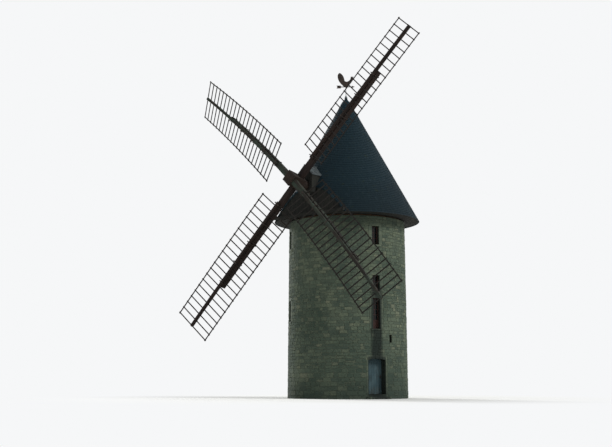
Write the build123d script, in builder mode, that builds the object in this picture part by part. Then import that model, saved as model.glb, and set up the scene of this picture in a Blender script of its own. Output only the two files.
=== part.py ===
from build123d import *
from math import asin, cos, hypot, radians, sin, tan
import os

# Tower mill of rubble masonry with a conical slate cap and four lattice sails.
# Millimetres. Origin on the tower's axis at ground level, +Z up, the windshaft's
# front end towards -Y. Azimuths are seen from above, from the front (-Y) towards +X.

# Tower
BASE_RADIUS = 3300.0
HEAD_RADIUS = 3220.0
GROUND_ROOM_RADIUS = 2350.0
FIRST_ROOM_RADIUS = 2450.0
SECOND_ROOM_RADIUS = 2550.0
THIRD_ROOM_RADIUS = 2620.0
SLAB_THICKNESS = 250.0
FIRST_FLOOR_LEVEL = 2900.0
FLOOR_OVER_FIRST_WINDOW = 320.0
FLOOR_OVER_SECOND_WINDOW = 1300.0
WALL_OVER_THIRD_WINDOW = 550.0
FLOOR_BOARD = 40.0
JOIST_DEPTH = 200.0
JOIST_WIDTH = 160.0
JOIST_SPACING = 800.0
JOISTS_PER_FLOOR = 5

# Where one piece of the wall meets the next, as azimuths and levels
ENTRANCE_AZIMUTH = 69.0
ENTRANCE_HALF_ANGLE = 23.0
DOOR_HEAD_LEVEL = 2280.0
FIRST_BED_UNDER_SILL = 160.0
SECOND_BED_UNDER_FLOOR = 100.0
THIRD_BED_UNDER_FLOOR = 300.0

# Doorway and door
DOOR_CLEAR_WIDTH = 900.0
DOOR_SPRINGING = 2030.0
DOOR_CAMBER = 70.0
JAMB_WIDTH = 180.0
REVEAL_DEPTH = 380.0
REVEAL_SPLAY = 14.0
PASSAGE_WIDTH = 1120.0
DOORSTEP_DEPTH = 350.0
DOORSTEP_HEIGHT = 125.0
LEAF_OVERLAP = 20.0
LEAF_THICKNESS = 45.0
LEAF_CLEARANCE = 5.0
LEDGE_HEIGHT = 120.0
LEDGE_THICKNESS = 30.0
LEDGE_END_MARGIN = 60.0
DOOR_LEDGES = 3
STRAP_HEIGHT = 50.0
STRAP_THICKNESS = 8.0
STRAP_LENGTH = 720.0
STRAP_FROM_EDGE = 320.0
HINGE_SETBACK = 20.0
PIN_RADIUS = 12.0
PIN_HEIGHT = 80.0
EYE_RADIUS = 22.0
PIN_BRACKET = 18.0
HANDLE_X = 385.0
HANDLE_LEVEL = 900.0
HANDLE_PLATE_WIDTH = 60.0
HANDLE_PLATE_HEIGHT = 160.0
HANDLE_PLATE_CORNER = 12.0
HANDLE_PLATE_THICKNESS = 5.0
HANDLE_RING_RADIUS = 45.0
HANDLE_RING_WIDTH = 10.0

# Windows in one column over the door, two more round to the left, and a small slit
WINDOW_WIDTH = 450.0
FIRST_SILL_RISE = 760.0
FIRST_WINDOW_HEIGHT = 1620.0
FIRST_WINDOW_TRANSOM = 460.0
SECOND_SILL_RISE = 40.0
SECOND_WINDOW_HEIGHT = 860.0
THIRD_SILL_RISE = 350.0
THIRD_WINDOW_HEIGHT = 1000.0
SIDE_AZIMUTH = -34.0
LOWER_SIDE_HEIGHT = 1140.0
WINDOW_REVEAL = 200.0
WINDOW_SPLAY = 6.0
FRAME_WIDTH = 45.0
FRAME_DEPTH = 60.0
PANEL_THICKNESS = 30.0
PANE_THICKNESS = 6.0
LINTEL_HEIGHT = 180.0
LINTEL_BEARING = 150.0
SILL_HEIGHT = 80.0
SILL_BEARING = 100.0
SILL_PROJECTION = 40.0
SLIT_AZIMUTH = 85.2
SLIT_WIDTH = 180.0
SLIT_RISE = 50.0
SLIT_HEIGHT = 420.0

# Curb and cap ring
CURB_INNER_RADIUS = 2640.0
CURB_OUTER_RADIUS = 3060.0
CURB_HEIGHT = 80.0
CAP_RING_OUTER_RADIUS = 3040.0
CAP_RING_HEIGHT = 200.0

# Roof of the cap
EAVE_RADIUS = 4030.0
ROOF_HEIGHT = 7340.0
ROOF_SHELL = 60.0
FRONT_DISTANCE = 3100.0
FRONT_BOARD = 60.0
SOFFIT_THICKNESS = 30.0
SOFFIT_RISE = 10.0
FRONT_SILL_DEPTH = 160.0
FRONT_SILL_HEIGHT = 160.0
FRONT_SILL_END_MARGIN = 25.0

# Dormer over the windshaft
DORMER_FRONT = 3450.0
DORMER_HALF_WIDTH = 510.0
DORMER_FLOOR_RISE = 1260.0
DORMER_WALL_HEIGHT = 1000.0
DORMER_RIDGE_RISE = 470.0
DORMER_BOARD = 40.0
DORMER_ROOF_THICKNESS = 50.0
DORMER_ROOF_OVERHANG = 70.0
DORMER_LENGTH = 1700.0

# Finial, spindle and weathervane
TIP_RADIUS = 60.0
FINIAL_DEPTH = 300.0
FINIAL_CAP_RADIUS = 85.0
FINIAL_CAP_HEIGHT = 45.0
FINIAL_TAPER_HEIGHT = 120.0
SPINDLE_RADIUS = 16.0
SPINDLE_COLLAR_RADIUS = 28.0
SPINDLE_COLLAR_HEIGHT = 20.0
VANE_RISE = 480.0
VANE_TUBE_RADIUS = 26.0
VANE_TUBE_HEIGHT = 420.0
VANE_TUBE_TOP = 20.0
VANE_PLATE = 10.0
VANE_HEADING = 131.0
VANE_LENGTH = 980.0
ARROW_RISE = 110.0
ARROW_WIDTH = 45.0
ARROW_POINT = 150.0
FLETCH_LENGTH = 230.0
FLETCH_SWEEP = 50.0
FLETCH_HALF_HEIGHT = 85.0
COCKEREL_HEIGHT = 840.0
# The cockerel's outline, as shares of its height: sideways from the spindle, over the arrow
FOOT_BACK = (-0.13, 0.0)
FOOT_FRONT = (0.11, 0.0)
BREAST = ((0.22, 0.13), (0.37, 0.30), (0.45, 0.50))
HEAD_AND_COMB = (
    (0.51, 0.48), (0.50, 0.56), (0.60, 0.60), (0.51, 0.64), (0.53, 0.74),
    (0.46, 0.69), (0.43, 0.78), (0.39, 0.70), (0.33, 0.74), (0.33, 0.65),
)
BACK = ((0.27, 0.50), (0.10, 0.38), (-0.08, 0.42))
TAIL_FRONT = ((-0.14, 0.66), (-0.28, 0.90), (-0.44, 1.00))
TAIL_BACK = ((-0.55, 0.86), (-0.55, 0.62), (-0.45, 0.37), (-0.28, 0.16))

# Windshaft and its beams
SHAFT_TILT = 11.0
HUB_DISTANCE = 4280.0
HUB_RISE = 1820.0
HEAD_WIDTH = 640.0
HEAD_HALF_LENGTH = 520.0
HEAD_CHAMFER = 60.0
NECK_RADIUS = 270.0
NECK_LENGTH = 1650.0
SHAFT_ACROSS_FLATS = 500.0
SHAFT_LENGTH = 4150.0
TAIL_RADIUS = 110.0
TAIL_LENGTH = 400.0
NECK_GAP = 30.0
BREAST_DISTANCE = 2600.0
BREAST_WIDTH = 350.0
BREAST_HEIGHT = 700.0
BREAST_HALF_LENGTH = 1500.0
BEARING_WIDTH = 240.0
BEARING_HALF_LENGTH = 420.0
TAIL_BEAM_DISTANCE = 2200.0
TAIL_BEAM_WIDTH = 260.0
TAIL_BEAM_HALF_LENGTH = 2000.0

# Sails
SAIL_RADIUS = 10150.0
REAR_STOCK_ANGLE = 49.0
FRONT_STOCK_ANGLE = -41.0
STOCK_SPACING = 450.0
STOCK_DEPTH = 260.0
STOCK_ROOT_WIDTH = 320.0
STOCK_END_WIDTH = 230.0
STOCK_HALF_LENGTH = 7300.0
FRONT_STOCK_DROOP = 530.0
REAR_STOCK_DROOP = 160.0
WHIP_START = 1500.0
WHIP_ROOT_WIDTH = 160.0
WHIP_TIP_WIDTH = 140.0
WHIP_DEPTH = 150.0
BAR_STANDOFF = 85.0
LATTICE_START = 1760.0
LATTICE_TIP_MARGIN = 40.0
BARS_PER_SAIL = 22
RAIL_SPANS = 7
LEADING_WIDTH = 1120.0
TRAILING_WIDTH = 1240.0
BAR_WIDTH = 55.0
BAR_DEPTH = 36.0
BAR_STUB = 60.0
RAIL_WIDTH = 60.0
RAIL_DEPTH = 30.0

# Clearances
FIT = 0.3
RUNNING_FIT = 0.05
TURNING_GAP = 0.5
BEYOND = 600.0


def outward(azimuth):
    return Vector(sin(radians(azimuth)), -cos(radians(azimuth)), 0)


def across(azimuth):
    return Vector(cos(radians(azimuth)), sin(radians(azimuth)), 0)


def facing(azimuth, distance, level=0.0):
    """Upright plane seen from outside: X to the viewer's right, Y up, Z outward."""
    origin = outward(azimuth) * distance + Vector(0, 0, level)
    return Plane(origin=origin, x_dir=across(azimuth), z_dir=outward(azimuth))


def section_at(azimuth, level=0.0):
    """Upright plane through the axis: X outward, Y up."""
    return Plane(origin=(0, 0, level), x_dir=outward(azimuth), z_dir=-across(azimuth))


def save(piece, name):
    piece.part.label = name
    export_step(piece.part, f"parts/{name}.step")


os.makedirs("parts", exist_ok=True)

# Derived levels and radii, from the ground up
FLOOR_THICKNESS = FLOOR_BOARD + JOIST_DEPTH
FIRST_WINDOW_SILL = FIRST_FLOOR_LEVEL + FIRST_SILL_RISE
FIRST_WINDOW_TOP = FIRST_WINDOW_SILL + FIRST_WINDOW_HEIGHT
SECOND_FLOOR_LEVEL = FIRST_WINDOW_TOP + FLOOR_OVER_FIRST_WINDOW
SECOND_WINDOW_SILL = SECOND_FLOOR_LEVEL + SECOND_SILL_RISE
THIRD_FLOOR_LEVEL = SECOND_WINDOW_SILL + SECOND_WINDOW_HEIGHT + FLOOR_OVER_SECOND_WINDOW
THIRD_WINDOW_SILL = THIRD_FLOOR_LEVEL + THIRD_SILL_RISE
WALL_HEAD = THIRD_WINDOW_SILL + THIRD_WINDOW_HEIGHT + WALL_OVER_THIRD_WINDOW
SLIT_SILL = FIRST_FLOOR_LEVEL + SLIT_RISE
FIRST_BED_LEVEL = FIRST_WINDOW_SILL - FIRST_BED_UNDER_SILL
SECOND_BED_LEVEL = SECOND_FLOOR_LEVEL - SECOND_BED_UNDER_FLOOR
THIRD_BED_LEVEL = THIRD_FLOOR_LEVEL - THIRD_BED_UNDER_FLOOR
FIRST_LEDGE = FIRST_FLOOR_LEVEL - FLOOR_THICKNESS
SECOND_LEDGE = SECOND_FLOOR_LEVEL - FLOOR_THICKNESS
THIRD_LEDGE = THIRD_FLOOR_LEVEL - FLOOR_THICKNESS
CURB_TOP = WALL_HEAD + CURB_HEIGHT
CAP_RING_BASE = CURB_TOP + TURNING_GAP
CAP_RING_TOP = CAP_RING_BASE + CAP_RING_HEIGHT
LEAF_PLANE = BASE_RADIUS - REVEAL_DEPTH
EAVE_LEVEL = CURB_TOP
APEX_LEVEL = EAVE_LEVEL + ROOF_HEIGHT
ROOF_SLOPE = ROOF_HEIGHT / EAVE_RADIUS
DORMER_FLOOR_LEVEL = EAVE_LEVEL + DORMER_FLOOR_RISE
DORMER_EAVE_LEVEL = DORMER_FLOOR_LEVEL + DORMER_WALL_HEIGHT
HUB_LEVEL = EAVE_LEVEL + HUB_RISE
VANE_LEVEL = APEX_LEVEL + VANE_RISE
SHAFT_RISE = tan(radians(SHAFT_TILT))


def wall_face(level):
    """Outside radius of the tower at a level."""
    return BASE_RADIUS + (HEAD_RADIUS - BASE_RADIUS) * level / WALL_HEAD


def roof_radius(level):
    """Outside radius of the conical roof at a level."""
    return (APEX_LEVEL - level) / ROOF_SLOPE


def wall_section():
    """Half section of the wall, stepped inside to leave a ledge under each floor."""
    return Polyline(
        (BASE_RADIUS, 0),
        (HEAD_RADIUS, WALL_HEAD),
        (THIRD_ROOM_RADIUS, WALL_HEAD),
        (THIRD_ROOM_RADIUS, THIRD_LEDGE),
        (SECOND_ROOM_RADIUS, THIRD_LEDGE),
        (SECOND_ROOM_RADIUS, SECOND_LEDGE),
        (FIRST_ROOM_RADIUS, SECOND_LEDGE),
        (FIRST_ROOM_RADIUS, FIRST_LEDGE),
        (GROUND_ROOM_RADIUS, FIRST_LEDGE),
        (GROUND_ROOM_RADIUS, 0),
        close=True,
    )


def wall_sector(start, end):
    """Builder holding the whole height of the wall between two azimuths."""
    with BuildPart() as sector:
        with BuildSketch(section_at(start)):
            with BuildLine():
                wall_section()
            make_face()
        revolve(axis=Axis.Z, revolution_arc=end - start)
    return sector


# The tower's solid envelope, which trims dressed stones flush with the wall
with BuildPart() as envelope:
    with BuildSketch(Plane.XZ):
        with BuildLine():
            Polyline((0, 0), (BASE_RADIUS, 0), (HEAD_RADIUS, WALL_HEAD), (0, WALL_HEAD), close=True)
        make_face()
    revolve(axis=Axis.Z)

# Space that the doorway takes out of the wall, and the opening between the jambs
SURROUND_WIDTH = DOOR_CLEAR_WIDTH + 2 * JAMB_WIDTH
with BuildPart() as doorway:
    with BuildSketch(facing(ENTRANCE_AZIMUTH, LEAF_PLANE)):
        Rectangle(SURROUND_WIDTH, DOOR_HEAD_LEVEL, align=(Align.CENTER, Align.MIN))
    extrude(amount=BEYOND)
    with BuildSketch(facing(ENTRANCE_AZIMUTH, LEAF_PLANE)):
        Rectangle(PASSAGE_WIDTH, DOOR_HEAD_LEVEL, align=(Align.CENTER, Align.MIN))
    extrude(amount=-(LEAF_PLANE - GROUND_ROOM_RADIUS + BEYOND))

with BuildPart() as door_opening:
    with BuildSketch(facing(ENTRANCE_AZIMUTH, LEAF_PLANE)):
        with BuildLine():
            half = DOOR_CLEAR_WIDTH / 2
            Line((-half, SLAB_THICKNESS), (half, SLAB_THICKNESS))
            Line((half, SLAB_THICKNESS), (half, DOOR_SPRINGING))
            ThreePointArc((half, DOOR_SPRINGING), (0, DOOR_SPRINGING + DOOR_CAMBER), (-half, DOOR_SPRINGING))
            Line((-half, DOOR_SPRINGING), (-half, SLAB_THICKNESS))
        make_face()
    extrude(amount=BEYOND, taper=-REVEAL_SPLAY)

# Each window: the azimuth that it faces, its sill's level and its height
WINDOWS = {
    "first": (ENTRANCE_AZIMUTH, FIRST_WINDOW_SILL, FIRST_WINDOW_HEIGHT),
    "second": (ENTRANCE_AZIMUTH, SECOND_WINDOW_SILL, SECOND_WINDOW_HEIGHT),
    "third": (ENTRANCE_AZIMUTH, THIRD_WINDOW_SILL, THIRD_WINDOW_HEIGHT),
    "lower_side": (SIDE_AZIMUTH, FIRST_WINDOW_TOP - LOWER_SIDE_HEIGHT, LOWER_SIDE_HEIGHT),
    "upper_side": (SIDE_AZIMUTH, THIRD_WINDOW_SILL, THIRD_WINDOW_HEIGHT),
}


def window_back(sill, height):
    """Distance from the axis to the inner side of a window's frame."""
    return wall_face(sill + height / 2) - WINDOW_REVEAL - FRAME_DEPTH


def window_block(azimuth, back, level, width, height, depth):
    """Builder with a plain block that runs outward from the plane at the back."""
    with BuildPart() as block:
        with BuildSketch(facing(azimuth, back, level)):
            Rectangle(width, height, align=(Align.CENTER, Align.MIN))
        extrude(amount=depth)
    return block


def window_void(azimuth, back, sill, width, height):
    """Straight outside the frame, splayed inside it."""
    with BuildPart() as void:
        with BuildSketch(facing(azimuth, back, sill + height / 2)):
            Rectangle(width, height)
        extrude(amount=BEYOND)
        with BuildSketch(facing(azimuth, back, sill + height / 2)):
            Rectangle(width, height)
        extrude(amount=-(back - GROUND_ROOM_RADIUS), taper=-WINDOW_SPLAY)
    return void


window_cuts = {}
lintel_blocks = {}
sill_blocks = {}
for window, (azimuth, sill, height) in WINDOWS.items():
    back = window_back(sill, height)
    window_cuts[window] = window_void(azimuth, back, sill, WINDOW_WIDTH, height)
    lintel_blocks[window] = window_block(
        azimuth, back, sill + height, WINDOW_WIDTH + 2 * LINTEL_BEARING, LINTEL_HEIGHT, BEYOND
    )
    sill_blocks[window] = window_block(
        azimuth,
        back,
        sill - SILL_HEIGHT,
        WINDOW_WIDTH + 2 * SILL_BEARING,
        SILL_HEIGHT,
        WINDOW_REVEAL + FRAME_DEPTH + SILL_PROJECTION,
    )
slit_back = window_back(SLIT_SILL, SLIT_HEIGHT)
slit_cut = window_void(SLIT_AZIMUTH, slit_back, SLIT_SILL, SLIT_WIDTH, SLIT_HEIGHT)


def cut_window(window):
    """Takes a window and the beds of its lintel and sill out of the wall being built."""
    add(window_cuts[window], mode=Mode.SUBTRACT)
    add(lintel_blocks[window], mode=Mode.SUBTRACT)
    add(sill_blocks[window], mode=Mode.SUBTRACT)


def wall_band(sector, low, high):
    """Builder with a sector of the wall between two levels."""
    with BuildPart() as band:
        add(sector)
        split(bisect_by=Plane.XY.offset(low), keep=Keep.TOP)
        split(bisect_by=Plane.XY.offset(high), keep=Keep.BOTTOM)
    return band


# Wall away from the entrance, in equal segments: four from the ground to the wall head,
# and the one with windows in two pieces, one over the other
ENTRANCE_START = ENTRANCE_AZIMUTH - ENTRANCE_HALF_ANGLE
ENTRANCE_END = ENTRANCE_AZIMUTH + ENTRANCE_HALF_ANGLE
SEGMENTS = ("right_rear", "rear", "left_rear", "left", "front")
SEGMENT_ANGLE = (360 - 2 * ENTRANCE_HALF_ANGLE) / len(SEGMENTS)
for number, side in enumerate(SEGMENTS):
    start = ENTRANCE_END + number * SEGMENT_ANGLE
    segment = wall_sector(start, start + SEGMENT_ANGLE)
    if side == "left":
        side_wall = segment
    else:
        save(segment, f"wall_{side}")

SIDE_BANDS = {
    "lower_side": (0.0, SECOND_BED_LEVEL),
    "upper_side": (SECOND_BED_LEVEL, WALL_HEAD),
}
for window, (low, high) in SIDE_BANDS.items():
    with BuildPart() as side_window_wall:
        add(wall_band(side_wall, low, high))
        cut_window(window)
    save(side_window_wall, f"wall_{window}")

# Wall on both sides of the doorway
for side, start in (("left", ENTRANCE_START), ("right", ENTRANCE_AZIMUTH)):
    with BuildPart() as wall_beside_door:
        add(wall_sector(start, start + ENTRANCE_HALF_ANGLE))
        split(bisect_by=Plane.XY.offset(DOOR_HEAD_LEVEL), keep=Keep.BOTTOM)
        add(doorway, mode=Mode.SUBTRACT)
    save(wall_beside_door, f"wall_beside_door_{side}")

# Wall over the doorway, one piece to each storey
entrance_wall = wall_sector(ENTRANCE_START, ENTRANCE_END)
with BuildPart() as wall_over_door:
    add(wall_band(entrance_wall, DOOR_HEAD_LEVEL, FIRST_BED_LEVEL))
    add(slit_cut, mode=Mode.SUBTRACT)
save(wall_over_door, "wall_over_door")

BANDS = {
    "first": (FIRST_BED_LEVEL, SECOND_BED_LEVEL),
    "second": (SECOND_BED_LEVEL, THIRD_BED_LEVEL),
    "third": (THIRD_BED_LEVEL, WALL_HEAD),
}
for storey, (low, high) in BANDS.items():
    with BuildPart() as window_wall:
        add(wall_band(entrance_wall, low, high))
        cut_window(storey)
    save(window_wall, f"wall_{storey}_window")

# Door surround: jambs and a flat-topped head with a cambered underside
with BuildPart() as door_surround:
    with BuildSketch(facing(ENTRANCE_AZIMUTH, LEAF_PLANE, SLAB_THICKNESS)):
        Rectangle(SURROUND_WIDTH, DOOR_HEAD_LEVEL - SLAB_THICKNESS, align=(Align.CENTER, Align.MIN))
    extrude(amount=BEYOND)
    add(door_opening, mode=Mode.SUBTRACT)
    add(envelope, mode=Mode.INTERSECT)
save(door_surround, "door_surround")

# Threshold across the doorway, with a step in front
with BuildPart() as doorstep:
    add(doorway)
    split(bisect_by=Plane.XY.offset(SLAB_THICKNESS), keep=Keep.BOTTOM)
    add(envelope, mode=Mode.INTERSECT)
    with BuildSketch(Plane.XY):
        Circle(GROUND_ROOM_RADIUS)
    extrude(amount=SLAB_THICKNESS, mode=Mode.SUBTRACT)
    with BuildSketch(facing(ENTRANCE_AZIMUTH, LEAF_PLANE)):
        Rectangle(SURROUND_WIDTH, DOORSTEP_HEIGHT, align=(Align.CENTER, Align.MIN))
    extrude(amount=REVEAL_DEPTH + DOORSTEP_DEPTH)
save(doorstep, "doorstep")

with BuildPart() as ground_slab:
    with BuildSketch(Plane.XY):
        Circle(GROUND_ROOM_RADIUS - FIT)
    extrude(amount=SLAB_THICKNESS)
save(ground_slab, "ground_slab")


# Floors: boards on joists that rest on the ledge of the wall below
FLOORS = (
    (FIRST_ROOM_RADIUS, FIRST_FLOOR_LEVEL),
    (SECOND_ROOM_RADIUS, SECOND_FLOOR_LEVEL),
    (THIRD_ROOM_RADIUS, THIRD_FLOOR_LEVEL),
)
with BuildPart() as timber_floors:
    for radius, level in FLOORS:
        with BuildSketch(Plane.XY.offset(level - FLOOR_THICKNESS)):
            with GridLocations(JOIST_SPACING, 0, JOISTS_PER_FLOOR, 1):
                Rectangle(JOIST_WIDTH, 2 * radius)
            Circle(radius - FIT, mode=Mode.INTERSECT)
        extrude(amount=JOIST_DEPTH)
        with BuildSketch(Plane.XY.offset(level - FLOOR_BOARD)):
            Circle(radius - FIT)
        extrude(amount=FLOOR_BOARD)
save(timber_floors, "timber_floors")

# Lintels and sills of the windows, one of each to a window
with BuildPart() as window_stones:
    for block in lintel_blocks.values():
        add(block)
    add(envelope, mode=Mode.INTERSECT)
    for block in sill_blocks.values():
        add(block)
save(window_stones, "window_stones")

# Window frames; the first has a boarded panel below its transom
PANE_WIDTH = WINDOW_WIDTH - 2 * FRAME_WIDTH
with BuildPart() as window_frames:
    for window, (azimuth, sill, height) in WINDOWS.items():
        frame_back = window_back(sill, height)
        with BuildSketch(facing(azimuth, frame_back, sill + height / 2)):
            Rectangle(WINDOW_WIDTH, height)
            Rectangle(PANE_WIDTH, height - 2 * FRAME_WIDTH, mode=Mode.SUBTRACT)
            if window == "first":
                with Locations((0, FIRST_WINDOW_TRANSOM - height / 2)):
                    Rectangle(WINDOW_WIDTH, FRAME_WIDTH)
        extrude(amount=FRAME_DEPTH)
        if window == "first":
            with BuildSketch(facing(azimuth, frame_back, sill)):
                Rectangle(WINDOW_WIDTH, FIRST_WINDOW_TRANSOM, align=(Align.CENTER, Align.MIN))
            extrude(amount=PANEL_THICKNESS)
save(window_frames, "window_frames")

PANE_INSET = (FRAME_DEPTH - PANE_THICKNESS) / 2
with BuildPart() as window_panes:
    for window, (azimuth, sill, height) in WINDOWS.items():
        low = sill + FRAME_WIDTH
        if window == "first":
            low = sill + FIRST_WINDOW_TRANSOM + FRAME_WIDTH / 2
        high = sill + height - FRAME_WIDTH
        with BuildSketch(facing(azimuth, window_back(sill, height) + PANE_INSET, low)):
            Rectangle(PANE_WIDTH, high - low, align=(Align.CENTER, Align.MIN))
        extrude(amount=PANE_THICKNESS)
save(window_panes, "window_panes")

# Door leaf, which shuts against the back of the surround
LEAF_WIDTH = DOOR_CLEAR_WIDTH + 2 * LEAF_OVERLAP
LEAF_BASE = SLAB_THICKNESS + LEAF_CLEARANCE
LEAF_HEIGHT = DOOR_SPRINGING + DOOR_CAMBER + LEAF_OVERLAP - LEAF_BASE
LEAF_FRONT = LEAF_PLANE - LEAF_CLEARANCE
LEAF_BACK = LEAF_FRONT - LEAF_THICKNESS
HINGE_X = -LEAF_WIDTH / 2 - HINGE_SETBACK
HINGE_DISTANCE = LEAF_BACK - STRAP_THICKNESS - PIN_RADIUS / 2
LEDGE_SPACING = (LEAF_HEIGHT - LEDGE_HEIGHT - 2 * LEDGE_END_MARGIN) / (DOOR_LEDGES - 1)
with BuildPart() as door_leaf:
    with BuildSketch(facing(ENTRANCE_AZIMUTH, LEAF_BACK, LEAF_BASE)):
        Rectangle(LEAF_WIDTH, LEAF_HEIGHT, align=(Align.CENTER, Align.MIN))
    extrude(amount=LEAF_THICKNESS)
    with BuildSketch(facing(ENTRANCE_AZIMUTH, LEAF_BACK, LEAF_BASE + LEAF_HEIGHT / 2)):
        with GridLocations(0, LEDGE_SPACING, 1, DOOR_LEDGES):
            Rectangle(LEAF_WIDTH - 2 * LEDGE_END_MARGIN, LEDGE_HEIGHT)
    extrude(amount=-LEDGE_THICKNESS)
save(door_leaf, "door_leaf")

# Door's ironwork: two strap hinges with an eye, and a ring handle on a plate outside
STRAP_LEVELS = (LEAF_BASE + STRAP_FROM_EDGE, LEAF_BASE + LEAF_HEIGHT - STRAP_FROM_EDGE - STRAP_HEIGHT)
HINGE_AXIS = outward(ENTRANCE_AZIMUTH) * HINGE_DISTANCE + across(ENTRANCE_AZIMUTH) * HINGE_X


def hinge_plane(level):
    """Level plane with its origin on the door's hinge axis, X along the closed leaf."""
    return Plane(origin=HINGE_AXIS + Vector(0, 0, level), x_dir=across(ENTRANCE_AZIMUTH), z_dir=(0, 0, 1))


STRAP_OFFSET = HINGE_DISTANCE - LEAF_BACK + STRAP_THICKNESS / 2
HANDLE_CENTRE = LEAF_BASE + HANDLE_LEVEL
with BuildPart() as door_ironwork:
    for level in STRAP_LEVELS:
        with BuildSketch(hinge_plane(level)):
            with Locations((PIN_RADIUS, STRAP_OFFSET)):
                Rectangle(STRAP_LENGTH, STRAP_THICKNESS, align=(Align.MIN, Align.CENTER))
            Circle(EYE_RADIUS)
            Circle(PIN_RADIUS + RUNNING_FIT, mode=Mode.SUBTRACT)
        extrude(amount=STRAP_HEIGHT)
    with BuildSketch(facing(ENTRANCE_AZIMUTH, LEAF_FRONT, HANDLE_CENTRE)):
        with Locations((HANDLE_X, 0)):
            RectangleRounded(HANDLE_PLATE_WIDTH, HANDLE_PLATE_HEIGHT, HANDLE_PLATE_CORNER)
    extrude(amount=HANDLE_PLATE_THICKNESS)
    with BuildSketch(facing(ENTRANCE_AZIMUTH, LEAF_FRONT + HANDLE_PLATE_THICKNESS, HANDLE_CENTRE)):
        with Locations((HANDLE_X, -HANDLE_RING_RADIUS)):
            Circle(HANDLE_RING_RADIUS)
            Circle(HANDLE_RING_RADIUS - HANDLE_RING_WIDTH, mode=Mode.SUBTRACT)
    extrude(amount=HANDLE_RING_WIDTH)
save(door_ironwork, "door_ironwork")

# Hinge pins built into the wall of the passage
with BuildPart() as door_pins:
    for level in STRAP_LEVELS:
        with BuildSketch(hinge_plane(level - TURNING_GAP)):
            Circle(PIN_RADIUS)
        extrude(amount=PIN_HEIGHT)
        with BuildSketch(hinge_plane(level - TURNING_GAP)):
            Circle(EYE_RADIUS)
            with Locations((-(PASSAGE_WIDTH / 2 + HINGE_X) / 2, 0)):
                Rectangle(PASSAGE_WIDTH / 2 + HINGE_X, 2 * PIN_RADIUS)
        extrude(amount=-PIN_BRACKET)
save(door_pins, "door_pins")


def ring(inner, outer, base, height):
    """Builder with a flat ring about the tower's axis."""
    with BuildPart() as body:
        with BuildSketch(Plane.XY.offset(base)):
            Circle(outer)
            Circle(inner, mode=Mode.SUBTRACT)
        extrude(amount=height)
    return body


save(ring(CURB_INNER_RADIUS, CURB_OUTER_RADIUS, WALL_HEAD, CURB_HEIGHT), "fixed_curb")
save(ring(CURB_INNER_RADIUS, CAP_RING_OUTER_RADIUS, CAP_RING_BASE, CAP_RING_HEIGHT), "cap_ring")

# Everything of the roof lies behind the flat front, so this block trims the cone
FRONT_BLOCK = 3 * EAVE_RADIUS


def front_block(distance):
    """Builder with all the space in front of an upright plane across the cap."""
    with BuildPart() as block:
        with BuildSketch(Plane.XZ.offset(distance)):
            with Locations((0, EAVE_LEVEL)):
                Rectangle(FRONT_BLOCK, FRONT_BLOCK)
        extrude(amount=FRONT_BLOCK)
    return block


def cone_solid(inset):
    """Builder with the roof's cone made smaller all round by a level inset."""
    with BuildPart() as cone:
        with BuildSketch(Plane.XZ):
            with BuildLine():
                Polyline(
                    (0, EAVE_LEVEL),
                    (EAVE_RADIUS - inset, EAVE_LEVEL),
                    (0, APEX_LEVEL - inset * ROOF_SLOPE),
                    close=True,
                )
            make_face()
        revolve(axis=Axis.Z)
    return cone


cap_front_space = front_block(FRONT_DISTANCE)
roof_inside = cone_solid(ROOF_SHELL)
with BuildPart() as cap_body:
    add(cone_solid(0))
    add(cap_front_space, mode=Mode.SUBTRACT)

# Dormer over the windshaft: outline of its upright section, seen from the front
def dormer_outline(inset):
    """Closed outline of the dormer's body, smaller by the inset on every side."""
    half = DORMER_HALF_WIDTH - inset
    pitch = DORMER_RIDGE_RISE / DORMER_HALF_WIDTH
    floor = DORMER_FLOOR_LEVEL + inset
    return Polyline(
        (-half, floor),
        (half, floor),
        (half, DORMER_EAVE_LEVEL),
        (0, DORMER_EAVE_LEVEL + half * pitch),
        (-half, DORMER_EAVE_LEVEL),
        close=True,
    )


with BuildPart() as dormer_inside:
    with BuildSketch(Plane.XZ.offset(DORMER_FRONT - DORMER_BOARD)):
        with BuildLine():
            dormer_outline(DORMER_BOARD)
        make_face()
    extrude(amount=-DORMER_LENGTH)

HUB = Vector(0, -HUB_DISTANCE, HUB_LEVEL)
SHAFT_DIRECTION = Vector(0, -cos(radians(SHAFT_TILT)), sin(radians(SHAFT_TILT)))


def sail_plane(forward, angle=0.0):
    """Plane square to the windshaft, X along an arm at an angle above the level."""
    across_front = Vector(1, 0, 0) * cos(radians(angle))
    up_front = Vector(0, sin(radians(SHAFT_TILT)), cos(radians(SHAFT_TILT))) * sin(radians(angle))
    origin = HUB + SHAFT_DIRECTION * forward
    return Plane(origin=origin, x_dir=across_front + up_front, z_dir=SHAFT_DIRECTION)


def shaft_bore(radius):
    """Builder with a rod on the windshaft's axis, for the holes and seats around it."""
    with BuildPart() as bore:
        with BuildSketch(sail_plane(0)):
            Circle(radius)
        extrude(amount=-(NECK_LENGTH + SHAFT_LENGTH + TAIL_LENGTH + 2 * HEAD_HALF_LENGTH))
    return bore


with BuildPart() as dormer:
    with BuildSketch(Plane.XZ.offset(DORMER_FRONT)):
        with BuildLine():
            dormer_outline(0)
        make_face()
    extrude(amount=-DORMER_LENGTH)
    add(dormer_inside, mode=Mode.SUBTRACT)
    add(shaft_bore(NECK_RADIUS + NECK_GAP), mode=Mode.SUBTRACT)
    add(cap_body, mode=Mode.SUBTRACT)
save(dormer, "dormer")

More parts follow.
